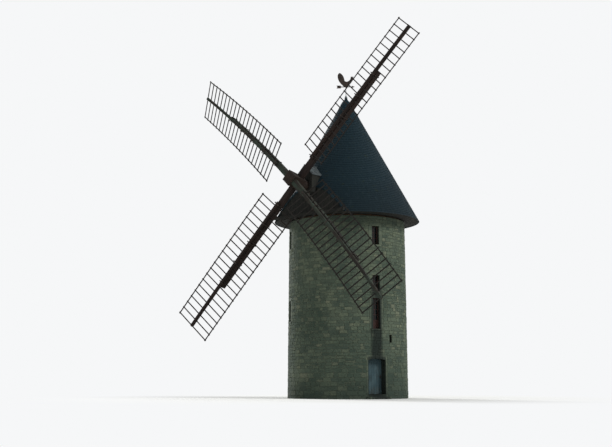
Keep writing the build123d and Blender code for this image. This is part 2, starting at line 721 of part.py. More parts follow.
# Two slopes over the dormer, with a small overhang, running back to the cone
with BuildPart() as dormer_roof:
    with BuildSketch(Plane.XZ.offset(DORMER_FRONT + DORMER_ROOF_OVERHANG)):
        with BuildLine():
            pitch = DORMER_RIDGE_RISE / DORMER_HALF_WIDTH
            eave_half = DORMER_HALF_WIDTH + DORMER_ROOF_OVERHANG
            eave_low = DORMER_EAVE_LEVEL - DORMER_ROOF_OVERHANG * pitch
            ridge = DORMER_EAVE_LEVEL + DORMER_RIDGE_RISE
            rise = DORMER_ROOF_THICKNESS * hypot(1, pitch)
            Polyline(
                (-eave_half, eave_low),
                (0, ridge),
                (eave_half, eave_low),
                (eave_half, eave_low + rise),
                (0, ridge + rise),
                (-eave_half, eave_low + rise),
                close=True,
            )
        make_face()
    extrude(amount=-(DORMER_LENGTH + DORMER_ROOF_OVERHANG))
    add(cap_body, mode=Mode.SUBTRACT)
save(dormer_roof, "dormer_roof")

# Conical roof: boards and slates as one shell, cut flat in front and open under the dormer
with BuildPart() as roof_cone:
    add(cap_body)
    add(roof_inside, mode=Mode.SUBTRACT)
    add(dormer_inside, mode=Mode.SUBTRACT)
    with BuildSketch(Plane.XY.offset(APEX_LEVEL)):
        Circle(TIP_RADIUS)
    extrude(amount=-FINIAL_DEPTH, mode=Mode.SUBTRACT)
    split(bisect_by=Plane.XY.offset(APEX_LEVEL - TIP_RADIUS * ROOF_SLOPE), keep=Keep.BOTTOM)
save(roof_cone, "roof_cone")

# Boards that close the underside of the eave, out from the cap ring
SOFFIT_BASE = CAP_RING_BASE + SOFFIT_RISE
SOFFIT_TOP = SOFFIT_BASE + SOFFIT_THICKNESS
EAVE_HALF_CHORD = EAVE_RADIUS * cos(asin(FRONT_DISTANCE / EAVE_RADIUS))
FRONT_SILL_LENGTH = 2 * (EAVE_HALF_CHORD - FRONT_SILL_END_MARGIN)
with BuildPart() as eave_soffit:
    with BuildSketch(Plane.XZ):
        with BuildLine():
            Polyline(
                (CAP_RING_OUTER_RADIUS + FIT, SOFFIT_BASE),
                (roof_radius(SOFFIT_BASE) - ROOF_SHELL - FIT, SOFFIT_BASE),
                (roof_radius(SOFFIT_TOP) - ROOF_SHELL - FIT, SOFFIT_TOP),
                (CAP_RING_OUTER_RADIUS + FIT, SOFFIT_TOP),
                close=True,
            )
        make_face()
    revolve(axis=Axis.Z)
    add(cap_front_space, mode=Mode.SUBTRACT)
save(eave_soffit, "eave_soffit")

# Flat boarded front under the cone, standing on the soffit, with a sill across its foot
with BuildPart() as cap_front:
    with BuildSketch(Plane.XZ.offset(FRONT_DISTANCE - FRONT_BOARD)):
        with Locations((0, SOFFIT_TOP)):
            Rectangle(2 * EAVE_RADIUS, APEX_LEVEL - SOFFIT_TOP, align=(Align.CENTER, Align.MIN))
    extrude(amount=FRONT_BOARD)
    add(cone_solid(ROOF_SHELL + FIT), mode=Mode.INTERSECT)
    add(dormer_inside, mode=Mode.SUBTRACT)
    with BuildSketch(Plane.XZ.offset(FRONT_DISTANCE)):
        with Locations((0, SOFFIT_TOP)):
            Rectangle(FRONT_SILL_LENGTH, FRONT_SILL_HEIGHT, align=(Align.CENTER, Align.MIN))
    extrude(amount=FRONT_SILL_DEPTH)
save(cap_front, "cap_front")

# Finial: a post through the roof's tip with a lead cap and an iron spindle
TIP_LEVEL = APEX_LEVEL - TIP_RADIUS * ROOF_SLOPE
with BuildPart() as finial:
    with BuildSketch(Plane.XZ):
        with BuildLine():
            cap_top = TIP_LEVEL + FIT + FINIAL_CAP_HEIGHT
            taper_top = cap_top + FINIAL_TAPER_HEIGHT
            collar_base = VANE_LEVEL - TURNING_GAP - SPINDLE_COLLAR_HEIGHT
            Polyline(
                (0, APEX_LEVEL - FINIAL_DEPTH),
                (TIP_RADIUS - FIT, APEX_LEVEL - FINIAL_DEPTH),
                (TIP_RADIUS - FIT, TIP_LEVEL + FIT),
                (FINIAL_CAP_RADIUS, TIP_LEVEL + FIT),
                (FINIAL_CAP_RADIUS, cap_top),
                (SPINDLE_COLLAR_RADIUS, taper_top),
                (SPINDLE_RADIUS, taper_top),
                (SPINDLE_RADIUS, collar_base),
                (SPINDLE_COLLAR_RADIUS, collar_base),
                (SPINDLE_COLLAR_RADIUS, VANE_LEVEL - TURNING_GAP),
                (SPINDLE_RADIUS, VANE_LEVEL - TURNING_GAP),
                (SPINDLE_RADIUS, VANE_LEVEL + VANE_TUBE_HEIGHT - VANE_TUBE_TOP - TURNING_GAP),
                (0, VANE_LEVEL + VANE_TUBE_HEIGHT - VANE_TUBE_TOP - TURNING_GAP),
                close=True,
            )
        make_face()
    revolve(axis=Axis.Z)
save(finial, "finial")



def at_cockerel(point):
    """Place on the vane's plate of a point given in shares of the cockerel's height."""
    sideways, rise = point
    return (sideways * COCKEREL_HEIGHT, ARROW_RISE + rise * COCKEREL_HEIGHT)


# Weathervane: a cut iron cockerel on an arrow, on a tube that turns on the spindle
with BuildPart() as weathervane:
    with BuildSketch(section_at(VANE_HEADING, VANE_LEVEL)):
        with Locations((0, ARROW_RISE)):
            Rectangle(VANE_LENGTH, ARROW_WIDTH)
        with BuildLine():
            Polyline(
                (VANE_LENGTH / 2 - ARROW_POINT, ARROW_RISE + ARROW_POINT / 2),
                (VANE_LENGTH / 2, ARROW_RISE),
                (VANE_LENGTH / 2 - ARROW_POINT, ARROW_RISE - ARROW_POINT / 2),
                close=True,
            )
        make_face()
        with BuildLine():
            Polyline(
                (-VANE_LENGTH / 2, ARROW_RISE),
                (-VANE_LENGTH / 2 - FLETCH_SWEEP, ARROW_RISE + FLETCH_HALF_HEIGHT),
                (-VANE_LENGTH / 2 + FLETCH_LENGTH - FLETCH_SWEEP, ARROW_RISE + FLETCH_HALF_HEIGHT),
                (-VANE_LENGTH / 2 + FLETCH_LENGTH, ARROW_RISE),
                (-VANE_LENGTH / 2 + FLETCH_LENGTH - FLETCH_SWEEP, ARROW_RISE - FLETCH_HALF_HEIGHT),
                (-VANE_LENGTH / 2 - FLETCH_SWEEP, ARROW_RISE - FLETCH_HALF_HEIGHT),
                close=True,
            )
        make_face()
        with BuildLine():
            legs = Line(at_cockerel(FOOT_BACK), at_cockerel(FOOT_FRONT))
            breast = Spline(legs @ 1, *(at_cockerel(point) for point in BREAST))
            head = Polyline(breast @ 1, *(at_cockerel(point) for point in HEAD_AND_COMB))
            back = Spline(head @ 1, *(at_cockerel(point) for point in BACK))
            tail_front = Spline(back @ 1, *(at_cockerel(point) for point in TAIL_FRONT))
            tail_back = Spline(tail_front @ 1, *(at_cockerel(point) for point in TAIL_BACK))
            Line(tail_back @ 1, legs @ 0)
        make_face()
    extrude(amount=VANE_PLATE / 2, both=True)
    with BuildSketch(Plane.XY.offset(VANE_LEVEL)):
        Circle(VANE_TUBE_RADIUS)
    extrude(amount=VANE_TUBE_HEIGHT)
    with BuildSketch(Plane.XY.offset(VANE_LEVEL)):
        Circle(SPINDLE_RADIUS + RUNNING_FIT)
    extrude(amount=VANE_TUBE_HEIGHT - VANE_TUBE_TOP, mode=Mode.SUBTRACT)
save(weathervane, "weathervane")

# Beams across the cap ring that carry the windshaft
with BuildPart() as breast_beam:
    with BuildSketch(Plane.XY.offset(CAP_RING_TOP)):
        with Locations((0, -BREAST_DISTANCE)):
            Rectangle(2 * BREAST_HALF_LENGTH, BREAST_WIDTH)
    extrude(amount=BREAST_HEIGHT)
save(breast_beam, "breast_beam")

BEARING_TOP = HUB_LEVEL - (HUB_DISTANCE - BREAST_DISTANCE) * SHAFT_RISE
with BuildPart() as neck_bearing:
    with BuildSketch(Plane.XY.offset(CAP_RING_TOP + BREAST_HEIGHT)):
        with Locations((0, -BREAST_DISTANCE)):
            Rectangle(2 * BEARING_HALF_LENGTH, BEARING_WIDTH)
    extrude(amount=BEARING_TOP - CAP_RING_TOP - BREAST_HEIGHT)
    add(shaft_bore(NECK_RADIUS + RUNNING_FIT), mode=Mode.SUBTRACT)
save(neck_bearing, "neck_bearing")

TAIL_BEAM_TOP = HUB_LEVEL - (HUB_DISTANCE + TAIL_BEAM_DISTANCE) * SHAFT_RISE
with BuildPart() as tail_beam:
    with BuildSketch(Plane.XY.offset(CAP_RING_TOP)):
        with Locations((0, TAIL_BEAM_DISTANCE)):
            Rectangle(2 * TAIL_BEAM_HALF_LENGTH, TAIL_BEAM_WIDTH)
    extrude(amount=TAIL_BEAM_TOP - CAP_RING_TOP)
    add(shaft_bore(TAIL_RADIUS + RUNNING_FIT), mode=Mode.SUBTRACT)
save(tail_beam, "tail_beam")

# Windshaft: square head for the stocks, round neck, eight-sided body and tail journal
FRONT_OFFSET = STOCK_SPACING / 2
REAR_OFFSET = -STOCK_SPACING / 2
with BuildPart() as windshaft:
    with BuildSketch(sail_plane(-HEAD_HALF_LENGTH, REAR_STOCK_ANGLE)):
        Rectangle(HEAD_WIDTH, HEAD_WIDTH)
    extrude(amount=2 * HEAD_HALF_LENGTH)
    chamfer(faces().sort_by(Axis((0, 0, 0), SHAFT_DIRECTION))[-1].edges(), HEAD_CHAMFER)
    with BuildSketch(sail_plane(-HEAD_HALF_LENGTH)):
        Circle(NECK_RADIUS)
    extrude(amount=-NECK_LENGTH)
    with BuildSketch(sail_plane(-HEAD_HALF_LENGTH - NECK_LENGTH)):
        RegularPolygon(SHAFT_ACROSS_FLATS / 2, 8, major_radius=False)
    extrude(amount=-SHAFT_LENGTH)
    with BuildSketch(sail_plane(-HEAD_HALF_LENGTH - NECK_LENGTH - SHAFT_LENGTH)):
        Circle(TAIL_RADIUS)
    extrude(amount=-TAIL_LENGTH)
    for offset, angle in ((FRONT_OFFSET, FRONT_STOCK_ANGLE), (REAR_OFFSET, REAR_STOCK_ANGLE)):
        with BuildSketch(sail_plane(offset - STOCK_DEPTH / 2 - FIT, angle)):
            Rectangle(2 * HEAD_WIDTH, STOCK_ROOT_WIDTH + 2 * FIT)
        extrude(amount=STOCK_DEPTH + 2 * FIT, mode=Mode.SUBTRACT)
save(windshaft, "windshaft")


def droop_at(distance, droop):
    """How far a stock has sunk at a distance from the hub."""
    return -droop * (distance / SAIL_RADIUS) ** 2


def bowed_arm(start, end, start_width, end_width, droop):
    """Closed outline of one tapering arm that follows the droop."""
    middle = (start + end) / 2
    middle_width = (start_width + end_width) / 2
    low = [
        (start, droop_at(start, droop) - start_width / 2),
        (middle, droop_at(middle, droop) - middle_width / 2),
        (end, droop_at(end, droop) - end_width / 2),
    ]
    high = [
        (end, droop_at(end, droop) + end_width / 2),
        (middle, droop_at(middle, droop) + middle_width / 2),
        (start, droop_at(start, droop) + start_width / 2),
    ]
    ThreePointArc(*low)
    Line(low[-1], high[0])
    ThreePointArc(*high)
    Line(high[-1], low[0])


def stock(offset, angle, droop):
    """One timber through the head, straight in its mortise and drooping at both ends."""
    with BuildPart() as timber:
        for direction in (1, -1):
            with BuildSketch(sail_plane(offset - STOCK_DEPTH / 2, angle)):
                with BuildLine():
                    bowed_arm(HEAD_WIDTH / 2, STOCK_HALF_LENGTH, STOCK_ROOT_WIDTH, STOCK_END_WIDTH, droop)
                make_face()
                if direction < 0:
                    mirror(about=Plane.YZ, mode=Mode.REPLACE)
            extrude(amount=STOCK_DEPTH)
        with BuildSketch(sail_plane(offset - STOCK_DEPTH / 2, angle)):
            Rectangle(HEAD_WIDTH, STOCK_ROOT_WIDTH)
        extrude(amount=STOCK_DEPTH)
    return timber


save(stock(FRONT_OFFSET, FRONT_STOCK_ANGLE, FRONT_STOCK_DROOP), "front_stock")
save(stock(REAR_OFFSET, REAR_STOCK_ANGLE, REAR_STOCK_DROOP), "rear_stock")

# Each sail: its arm's angle, the stock's offset and droop, and the weather of its
# bars, the angle that they are turned out of the sails' plane, inside and at the tip
SAILS = {
    "lower_right": (FRONT_STOCK_ANGLE, FRONT_OFFSET, FRONT_STOCK_DROOP, 20.0, 20.0),
    "upper_left": (FRONT_STOCK_ANGLE + 180, FRONT_OFFSET, -FRONT_STOCK_DROOP, 18.0, 28.0),
    "upper_right": (REAR_STOCK_ANGLE, REAR_OFFSET, REAR_STOCK_DROOP, 9.0, 9.0),
    "lower_left": (REAR_STOCK_ANGLE + 180, REAR_OFFSET, -REAR_STOCK_DROOP, 18.0, 17.0),
}
LATTICE_END = SAIL_RADIUS - LATTICE_TIP_MARGIN


def sail_point(sail, distance, sideways=0.0):
    """Point of a sail's lattice: out along the arm, then sideways along the turned bar."""
    angle, offset, droop, inner_weather, tip_weather = sail
    arm = sail_plane(offset + STOCK_DEPTH / 2 + BAR_STANDOFF, angle)
    centre = arm.origin + arm.x_dir * distance + arm.y_dir * droop_at(distance, droop)
    return centre + bar_direction(sail, distance) * sideways


def bar_direction(sail, distance):
    """Direction of the bar at a distance from the hub, towards the trailing side."""
    angle, offset, droop, inner_weather, tip_weather = sail
    share = (distance - LATTICE_START) / (LATTICE_END - LATTICE_START)
    weather = radians(inner_weather + (tip_weather - inner_weather) * share)
    arm = sail_plane(offset, angle)
    return arm.y_dir * cos(weather) - arm.z_dir * sin(weather)


def bar_plane(sail, distance):
    """Plane square to a bar at its leading end."""
    start = sail_point(sail, distance, -LEADING_WIDTH - BAR_STUB)
    return Plane(origin=start, x_dir=sail_plane(0, sail[0]).x_dir, z_dir=bar_direction(sail, distance))


def rail_plane(sail, start, end, sideways):
    """Plane square to one straight length of an outer rail."""
    first = sail_point(sail, start, sideways)
    last = sail_point(sail, end, sideways)
    return Plane(origin=first, x_dir=bar_direction(sail, start), z_dir=last - first)


BAR_DISTANCES = [
    LATTICE_START + number * (LATTICE_END - LATTICE_START) / (BARS_PER_SAIL - 1) for number in range(BARS_PER_SAIL)
]
RAIL_SPAN = (LATTICE_END - LATTICE_START + 2 * BAR_STUB) / RAIL_SPANS
RAIL_STARTS = [LATTICE_START - BAR_STUB + number * RAIL_SPAN for number in range(RAIL_SPANS)]
for side, sail in SAILS.items():
    bar_planes = [bar_plane(sail, distance) for distance in BAR_DISTANCES]
    with BuildPart() as lattice:
        with BuildSketch(*bar_planes):
            Rectangle(BAR_WIDTH, BAR_DEPTH)
        extrude(amount=LEADING_WIDTH + TRAILING_WIDTH + 2 * BAR_STUB)
        for sideways in (-LEADING_WIDTH, TRAILING_WIDTH):
            for start in RAIL_STARTS:
                end = start + RAIL_SPAN
                with BuildSketch(rail_plane(sail, start, end, sideways)):
                    Rectangle(RAIL_WIDTH, RAIL_DEPTH)
                extrude(amount=(sail_point(sail, end, sideways) - sail_point(sail, start, sideways)).length)
    save(lattice, f"lattice_{side}")

    angle, offset, droop, inner_weather, tip_weather = sail
    with BuildPart() as whip:
        with BuildSketch(sail_plane(offset + STOCK_DEPTH / 2, angle)):
            with BuildLine():
                bowed_arm(WHIP_START, SAIL_RADIUS, WHIP_ROOT_WIDTH, WHIP_TIP_WIDTH, droop)
            make_face()
        extrude(amount=WHIP_DEPTH)
        with BuildSketch(*bar_planes):
            Rectangle(BAR_WIDTH + 2 * FIT, BAR_DEPTH + 2 * FIT)
        extrude(amount=LEADING_WIDTH + TRAILING_WIDTH + 2 * BAR_STUB, mode=Mode.SUBTRACT)
    save(whip, f"whip_{side}")
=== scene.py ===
import random
from math import asin, atan2, ceil, cos, degrees, hypot, pi, radians, sin, tan

import bmesh
import bpy
from mathutils import Matrix, Vector


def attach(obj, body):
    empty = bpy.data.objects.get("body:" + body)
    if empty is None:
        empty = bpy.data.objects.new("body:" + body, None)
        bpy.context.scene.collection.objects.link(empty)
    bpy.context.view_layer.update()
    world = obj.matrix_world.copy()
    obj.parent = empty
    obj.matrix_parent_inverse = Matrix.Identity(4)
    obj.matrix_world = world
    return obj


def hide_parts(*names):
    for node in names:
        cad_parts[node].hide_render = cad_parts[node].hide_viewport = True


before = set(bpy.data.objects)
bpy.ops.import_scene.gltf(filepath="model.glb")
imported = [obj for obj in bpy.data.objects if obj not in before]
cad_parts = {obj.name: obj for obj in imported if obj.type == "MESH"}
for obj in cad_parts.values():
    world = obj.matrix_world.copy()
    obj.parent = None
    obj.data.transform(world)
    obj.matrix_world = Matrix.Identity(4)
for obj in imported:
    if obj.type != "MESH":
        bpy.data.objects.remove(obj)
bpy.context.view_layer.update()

# Looks of the tower mill, in metres and degrees, in the frame of the solids. Azimuths are
# seen from above, from the front (-Y) towards +X, as in the source of the solids.

# Tower
BASE_RADIUS = 3.30
HEAD_RADIUS = 3.22
WALL_HEAD = 9.70
ENTRANCE = 69.0
SIDE = -34.0
SLIT_AZIMUTH = 85.2
DOOR_HEAD = 2.28
SURROUND_HALF = 0.63
DOOR_HALF = 0.45
DOOR_SPRINGING = 2.03
DOOR_CAMBER = 0.07
REVEAL_BACK = 2.92
REVEAL_SPLAY = 14.0
THRESHOLD = 0.25
WINDOW_HALF = 0.225
LINTEL_HEIGHT = 0.18
LINTEL_BEARING = 0.15
SILL_HEIGHT = 0.08
SILL_BEARING = 0.10
WINDOW_REVEAL = 0.20
FRAME_WIDTH = 0.045
FRAME_DEPTH = 0.06
LIMEWASH_RADIUS = 2.71
# Each window: azimuth, sill level, height, level of its transom or None
WINDOWS = (
    (ENTRANCE, 3.66, 1.62, 4.12),
    (ENTRANCE, 5.64, 0.86, None),
    (ENTRANCE, 8.15, 1.00, None),
    (SIDE, 4.14, 1.14, None),
    (SIDE, 8.15, 1.00, None),
)
# The slit: lowest and highest level, half width
SLIT = (2.95, 3.37, 0.09)

# Cap
EAVE_RADIUS = 4.03
EAVE_LEVEL = 9.78
APEX_LEVEL = 17.12
ROOF_SLOPE = (APEX_LEVEL - EAVE_LEVEL) / EAVE_RADIUS
FRONT_DISTANCE = 3.10
FRONT_HALF = (EAVE_RADIUS**2 - FRONT_DISTANCE**2) ** 0.5
SOFFIT_BASE = 9.7905
SOFFIT_INNER = 3.05
FRONT_FOOT = 9.9805
DORMER_FRONT = 3.45
DORMER_HALF = 0.51
DORMER_FLOOR = 11.04
DORMER_EAVE = 12.04
DORMER_RISE = 0.47
DORMER_OVERHANG = 0.07
DORMER_SHEET = 0.05

# Sails
SHAFT_TILT = 11.0
HUB = Vector((0, -4.28, 11.60))
SHAFT_DIRECTION = Vector((0, -cos(radians(SHAFT_TILT)), sin(radians(SHAFT_TILT))))
SAIL_RADIUS = 10.15
HEAD_WIDTH = 0.64
NECK_HOLE = 0.305
STOCK_DEPTH = 0.26
STOCK_HALF_LENGTH = 7.30
STOCK_ROOT_WIDTH = 0.32
STOCK_END_WIDTH = 0.23
WHIP_DEPTH = 0.15
FRONT_ANGLE, REAR_ANGLE = -41.0, 49.0
FRONT_OFFSET, REAR_OFFSET = 0.225, -0.225
# Each arm: angle, offset of its stock along the shaft, droop at the sail's radius
ARMS = (
    (FRONT_ANGLE, FRONT_OFFSET, 0.53),
    (FRONT_ANGLE + 180, FRONT_OFFSET, -0.53),
    (REAR_ANGLE, REAR_OFFSET, 0.16),
    (REAR_ANGLE + 180, REAR_OFFSET, -0.16),
)

# Door leaf
LEAF_BASE = 0.255
LEAF_HALF = 0.47
LEAF_HEIGHT = 1.865
LEAF_FRONT = 2.915
LEAF_BACK = 2.870

RIGHT, BACK, UP = Vector((1, 0, 0)), Vector((0, 1, 0)), Vector((0, 0, 1))
rng = random.Random(1847)


def outward(azimuth):
    return Vector((sin(radians(azimuth)), -cos(radians(azimuth)), 0))


def across(azimuth):
    return Vector((cos(radians(azimuth)), sin(radians(azimuth)), 0))


def wall_radius(level):
    return BASE_RADIUS + (HEAD_RADIUS - BASE_RADIUS) * level / WALL_HEAD


def on_wall(azimuth, level):
    return outward(azimuth) * wall_radius(level) + UP * level


def beside(azimuth, sideways, level, distance):
    """Point beside an opening: sideways to the viewer's right, at a distance from the axis."""
    return outward(azimuth) * distance + across(azimuth) * sideways + UP * level


def face_distance(sideways, level):
    """Distance of the tower's face, square to an opening, at a place beside its middle."""
    return (wall_radius(level) ** 2 - sideways**2) ** 0.5


def sail_frame(angle):
    """Directions of an arm: out along it, across it, and forward along the shaft."""
    rise = Vector((0, sin(radians(SHAFT_TILT)), cos(radians(SHAFT_TILT))))
    along = RIGHT * cos(radians(angle)) + rise * sin(radians(angle))
    return along, SHAFT_DIRECTION.cross(along), SHAFT_DIRECTION


# Materials


def linear(code):
    """An sRGB hex colour as linear values."""
    values = [int(code[i : i + 2], 16) / 255 for i in (1, 3, 5)]
    return [v / 12.92 if v <= 0.04045 else ((v + 0.055) / 1.055) ** 2.4 for v in values] + [1.0]


def add(tree, kind, inputs=None, out=0, stops=(), **settings):
    """Adds a node with its settings, ramp stops and inputs, and returns one of its outputs.

    Sockets go by name, or by number where a node has several of one name. A kind that doesn't
    name its family is a shader node."""
    made = tree.nodes.new(kind if "Node" in kind else "ShaderNode" + kind)
    for name, value in settings.items():
        setattr(made, name, value)
    for number, (place, code) in enumerate(stops):
        elements = made.color_ramp.elements
        element = elements[number] if number < 2 else elements.new(place)
        element.position = place
        element.color = linear(code)
    for socket, value in (inputs or {}).items():
        if isinstance(value, bpy.types.NodeSocket):
            tree.links.new(value, made.inputs[socket])
        elif isinstance(value, str) and value.startswith("#"):
            made.inputs[socket].default_value = linear(value)
        else:
            made.inputs[socket].default_value = value
    return made.outputs[out] if len(made.outputs) else None


def first_node(tree, kind):
    """The node of a kind that a new tree comes with."""
    return next(node for node in tree.nodes if node.type == kind)


class Surface:
    """A material as it is built up: its nodes, its place on the object and its colour so far."""

    def __init__(self, name, **shader):
        self.material = bpy.data.materials.new(name)
        self.material.use_nodes = True
        self.tree = self.material.node_tree
        self.shader = first_node(self.tree, "BSDF_PRINCIPLED")
        for socket, value in shader.items():
            self.shader.inputs[socket.replace("_", " ")].default_value = value
        self.place = add(self.tree, "TexCoord", out="Object")
        self.colour = None

    def cloud(self, size, detail=4.0, turn=(0, 0, 0)):
        """Soft irregular pattern whose marks have a size in metres along three turned axes.

        Marks under 30 mm stand for finer ones: grain, sand, leaf edges and pits are drawn as
        coarse as they need to show when the whole mill is in view."""
        turned = {"Vector": self.place, "Rotation": turn, "Scale": size}
        scaled = add(self.tree, "Mapping", turned, vector_type="TEXTURE")
        return add(self.tree, "TexNoise", {"Vector": scaled, "Scale": 1.0, "Detail": detail})

    def lay(self, other, pattern, low, high, most=1.0):
        """Lays another colour over the one so far where a pattern runs from low to high."""
        share = add(self.tree, "MapRange", {0: pattern, 1: low, 2: high, 4: most})
        colours = {0: share, 6: self.colour, 7: other}
        self.colour = add(self.tree, "Mix", colours, 2, data_type="RGBA")

    def stain(self, *edges):
        """Strength of a stain: what each edge follows, from where to where, its strength at both."""
        share = 1.0
        for followed, start, end, at_start, at_end in edges:
            edge = add(self.tree, "MapRange", {0: followed, 1: start, 2: end, 3: at_start, 4: at_end})
            share = add(self.tree, "Math", {0: share, 1: edge}, operation="MULTIPLY")
        return share

    def from_axis(self):
        """Distance from the tower's axis."""
        flat = add(self.tree, "VectorMath", {0: self.place, 1: (1, 1, 0)}, operation="MULTIPLY")
        return add(self.tree, "VectorMath", {0: flat}, 1, operation="LENGTH")

    def finish(self, *reliefs, **others):
        """Links the colour, relief from pairs of a pattern and its depth in metres, and others."""
        normal = {}
        for pattern, depth in reliefs:
            bump = add(self.tree, "Bump", {"Height": pattern, "Distance": depth, **normal})
            normal = {"Normal": bump}
        for socket, value in {"Base Color": self.colour, **normal, **others}.items():
            self.tree.links.new(value, self.shader.inputs[socket])
        return self.material


def weather_masonry(stone):
    """Masonry damp at the foot and streaked by rain below the windows, with painted shade in its
    reveals, under the eave and beside the door."""
    tree, place = stone.tree, stone.place
    level = add(tree, "SeparateXYZ", {0: place}, "Z")
    rising = {0: stone.cloud((1.3, 1.3, 1.0), 3.0), 1: 1.8, 2: level}
    damp = add(tree, "Math", rising, operation="MULTIPLY_ADD")
    stone.lay("#2b352f", damp, 2.3, 1.1, 0.6)
    # Painted shade under the eave: the top of the wall is darkened towards its head.
    stone.lay("#28312c", level, 8.9, WALL_HEAD, 0.45)
    # Painted shade in the reveals: darker where the surface lies sunk behind the tower's face.
    taper = {0: level, 1: (HEAD_RADIUS - BASE_RADIUS) / WALL_HEAD, 2: BASE_RADIUS}
    face = add(tree, "Math", taper, operation="MULTIPLY_ADD")
    sunk = add(tree, "Math", {0: face, 1: stone.from_axis()}, operation="SUBTRACT")
    stone.lay("#141a17", sunk, 0.02, 0.07, 0.85)
    ahead, sideways = (
        add(tree, "VectorMath", {0: place, 1: way}, 1, operation="DOT_PRODUCT")
        for way in (outward(ENTRANCE), across(ENTRANCE))
    )
    aside = add(tree, "Math", {0: sideways}, operation="ABSOLUTE")
    entrance_side = (ahead, 2.6, 2.9, 0.0, 1.0)
    # Painted shade round the doorway: darker in its reveals and along its edges, up to below its head.
    beside_door, below_head = (aside, 0.50, 0.60, 1.0, 0.0), (level, 2.16, 2.26, 1.0, 0.0)
    painted_door_shade = stone.stain(beside_door, below_head, entrance_side)
    stone.lay("#1a211e", painted_door_shade, 0.0, 1.0, 0.8)
    column, low_windows = (aside, 0.20, 0.46, 1.0, 0.0), (level, 5.9, 6.7, 1.0, 0.12)
    runs = stone.cloud((0.14, 0.14, 1.6))
    streaked = {0: stone.stain(column, entrance_side, low_windows), 1: runs}
    wet = add(tree, "Math", streaked, operation="MULTIPLY")
    stone.lay("#1a211e", wet, 0.12, 0.42, 0.9)


def limestone_rubble():
    """Hard limestone picked from the field and laid rough: dull, mottled grey-green to buff."""
    stone = Surface("limestone_rubble_rough_laid", Roughness=0.93, Specular_IOR_Level=0.2)
    tint = add(stone.tree, "Attribute", out="Fac", attribute_name="tint")
    shades = ((0.0, "#404b41"), (0.35, "#4c574a"), (0.65, "#545f50"), (0.88, "#5e6755"), (1.0, "#6d715e"))
    stone.colour = add(stone.tree, "ValToRGB", {"Fac": tint}, "Color", shades)
    mottle = stone.cloud((0.10, 0.10, 0.07), 6.0)
    stone.lay("#36423a", mottle, 0.38, 0.68, 0.6)
    lichen = stone.cloud((0.045, 0.045, 0.045), 3.0)
    stone.lay("#757b67", lichen, 0.62, 0.74, 0.35)
    zones = stone.cloud((1.9, 1.9, 2.6), 3.0)
    stone.lay("#2f3d34", zones, 0.45, 0.62, 0.5)
    stone.lay("#69705c", zones, 0.44, 0.34, 0.30)
    weather_masonry(stone)
    hollows = stone.cloud((0.09, 0.09, 0.06), 5.0)
    pits = stone.cloud((0.012, 0.012, 0.012), 3.0)
    return stone.finish((hollows, 0.025), (pits, 0.004))


def lime_mortar():
    """Lime mortar struck rough outside, sandy and dull; limewashed within, chalky and pale."""
    mortar = Surface("lime_mortar_struck_rough", Roughness=0.95, Specular_IOR_Level=0.2)
    sand, brushed = mortar.cloud((0.25, 0.25, 0.25), 6.0), mortar.cloud((0.6, 0.6, 0.2))
    mortar_shades = ((0.3, "#414a40"), (0.7, "#5b6152"))
    limewash_shades = ((0.35, "#b0ab99"), (0.65, "#c8c4b3"))
    mortar.colour = add(mortar.tree, "ValToRGB", {"Fac": sand}, "Color", mortar_shades)
    weather_masonry(mortar)
    limewash = add(mortar.tree, "ValToRGB", {"Fac": brushed}, "Color", limewash_shades)
    mortar.lay(limewash, mortar.from_axis(), LIMEWASH_RADIUS, LIMEWASH_RADIUS - 0.01)
    trowel = mortar.cloud((0.05, 0.05, 0.04), 5.0)
    grains = mortar.cloud((0.006, 0.006, 0.006), 2.0)
    return mortar.finish((trowel, 0.012), (grains, 0.002))


def dressed_limestone():
    """Soft limestone sawn and dressed square: finer and a little paler than the rubble."""
    stone = Surface("limestone_sawn_and_dressed", Roughness=0.86, Specular_IOR_Level=0.2)
    veins = stone.cloud((0.4, 0.4, 0.15), 5.0)
    shades = ((0.3, "#4c564a"), (0.7, "#626a58"))
    stone.colour = add(stone.tree, "ValToRGB", {"Fac": veins}, "Color", shades)
    tint = add(stone.tree, "Attribute", out="Fac", attribute_name="tint")
    stone.lay("#3e4a40", tint, 0.0, 1.0, 0.5)
    soot = stone.cloud((0.05, 0.05, 0.05))
    stone.lay("#333d36", soot, 0.52, 0.70, 0.6)
    weather_masonry(stone)
    worn = stone.cloud((0.06, 0.06, 0.06))
    tooling = stone.cloud((0.012, 0.012, 0.10), 2.0)
    return stone.finish((worn, 0.008), (tooling, 0.003))


def riven_slate():
    """Blue-grey slate split by hand: flat leaves with a slight sheen, each of its own shade."""
    slate = Surface("slate_riven_in_courses", Roughness=0.75, Specular_IOR_Level=0.12)
    tint = add(slate.tree, "Attribute", out="Fac", attribute_name="tint")
    shades = ((0.0, "#0f1c22"), (0.45, "#13242b"), (0.8, "#192e36"), (1.0, "#294048"))
    slate.colour = add(slate.tree, "ValToRGB", {"Fac": tint}, "Color", shades)
    level = add(slate.tree, "SeparateXYZ", {0: slate.place}, "Z")
    broad = {0: slate.cloud((1.6, 1.6, 1.2)), 1: 2.6, 2: level}
    low = add(slate.tree, "Math", broad, operation="MULTIPLY_ADD")
    slate.lay("#0c171b", low, 13.6, 11.0, 0.6)
    runs = slate.cloud((0.10, 0.10, 1.6))
    slate.lay("#26343a", runs, 0.54, 0.70, 0.4)
    moss = slate.cloud((0.22, 0.22, 0.18), 5.0)
    slate.lay("#27301f", moss, 0.62, 0.74, 0.5)
    riven = slate.cloud((0.12, 0.12, 0.03), 5.0)
    edges = slate.cloud((0.012, 0.012, 0.012), 2.0)
    return slate.finish((riven, 0.005), (edges, 0.001))


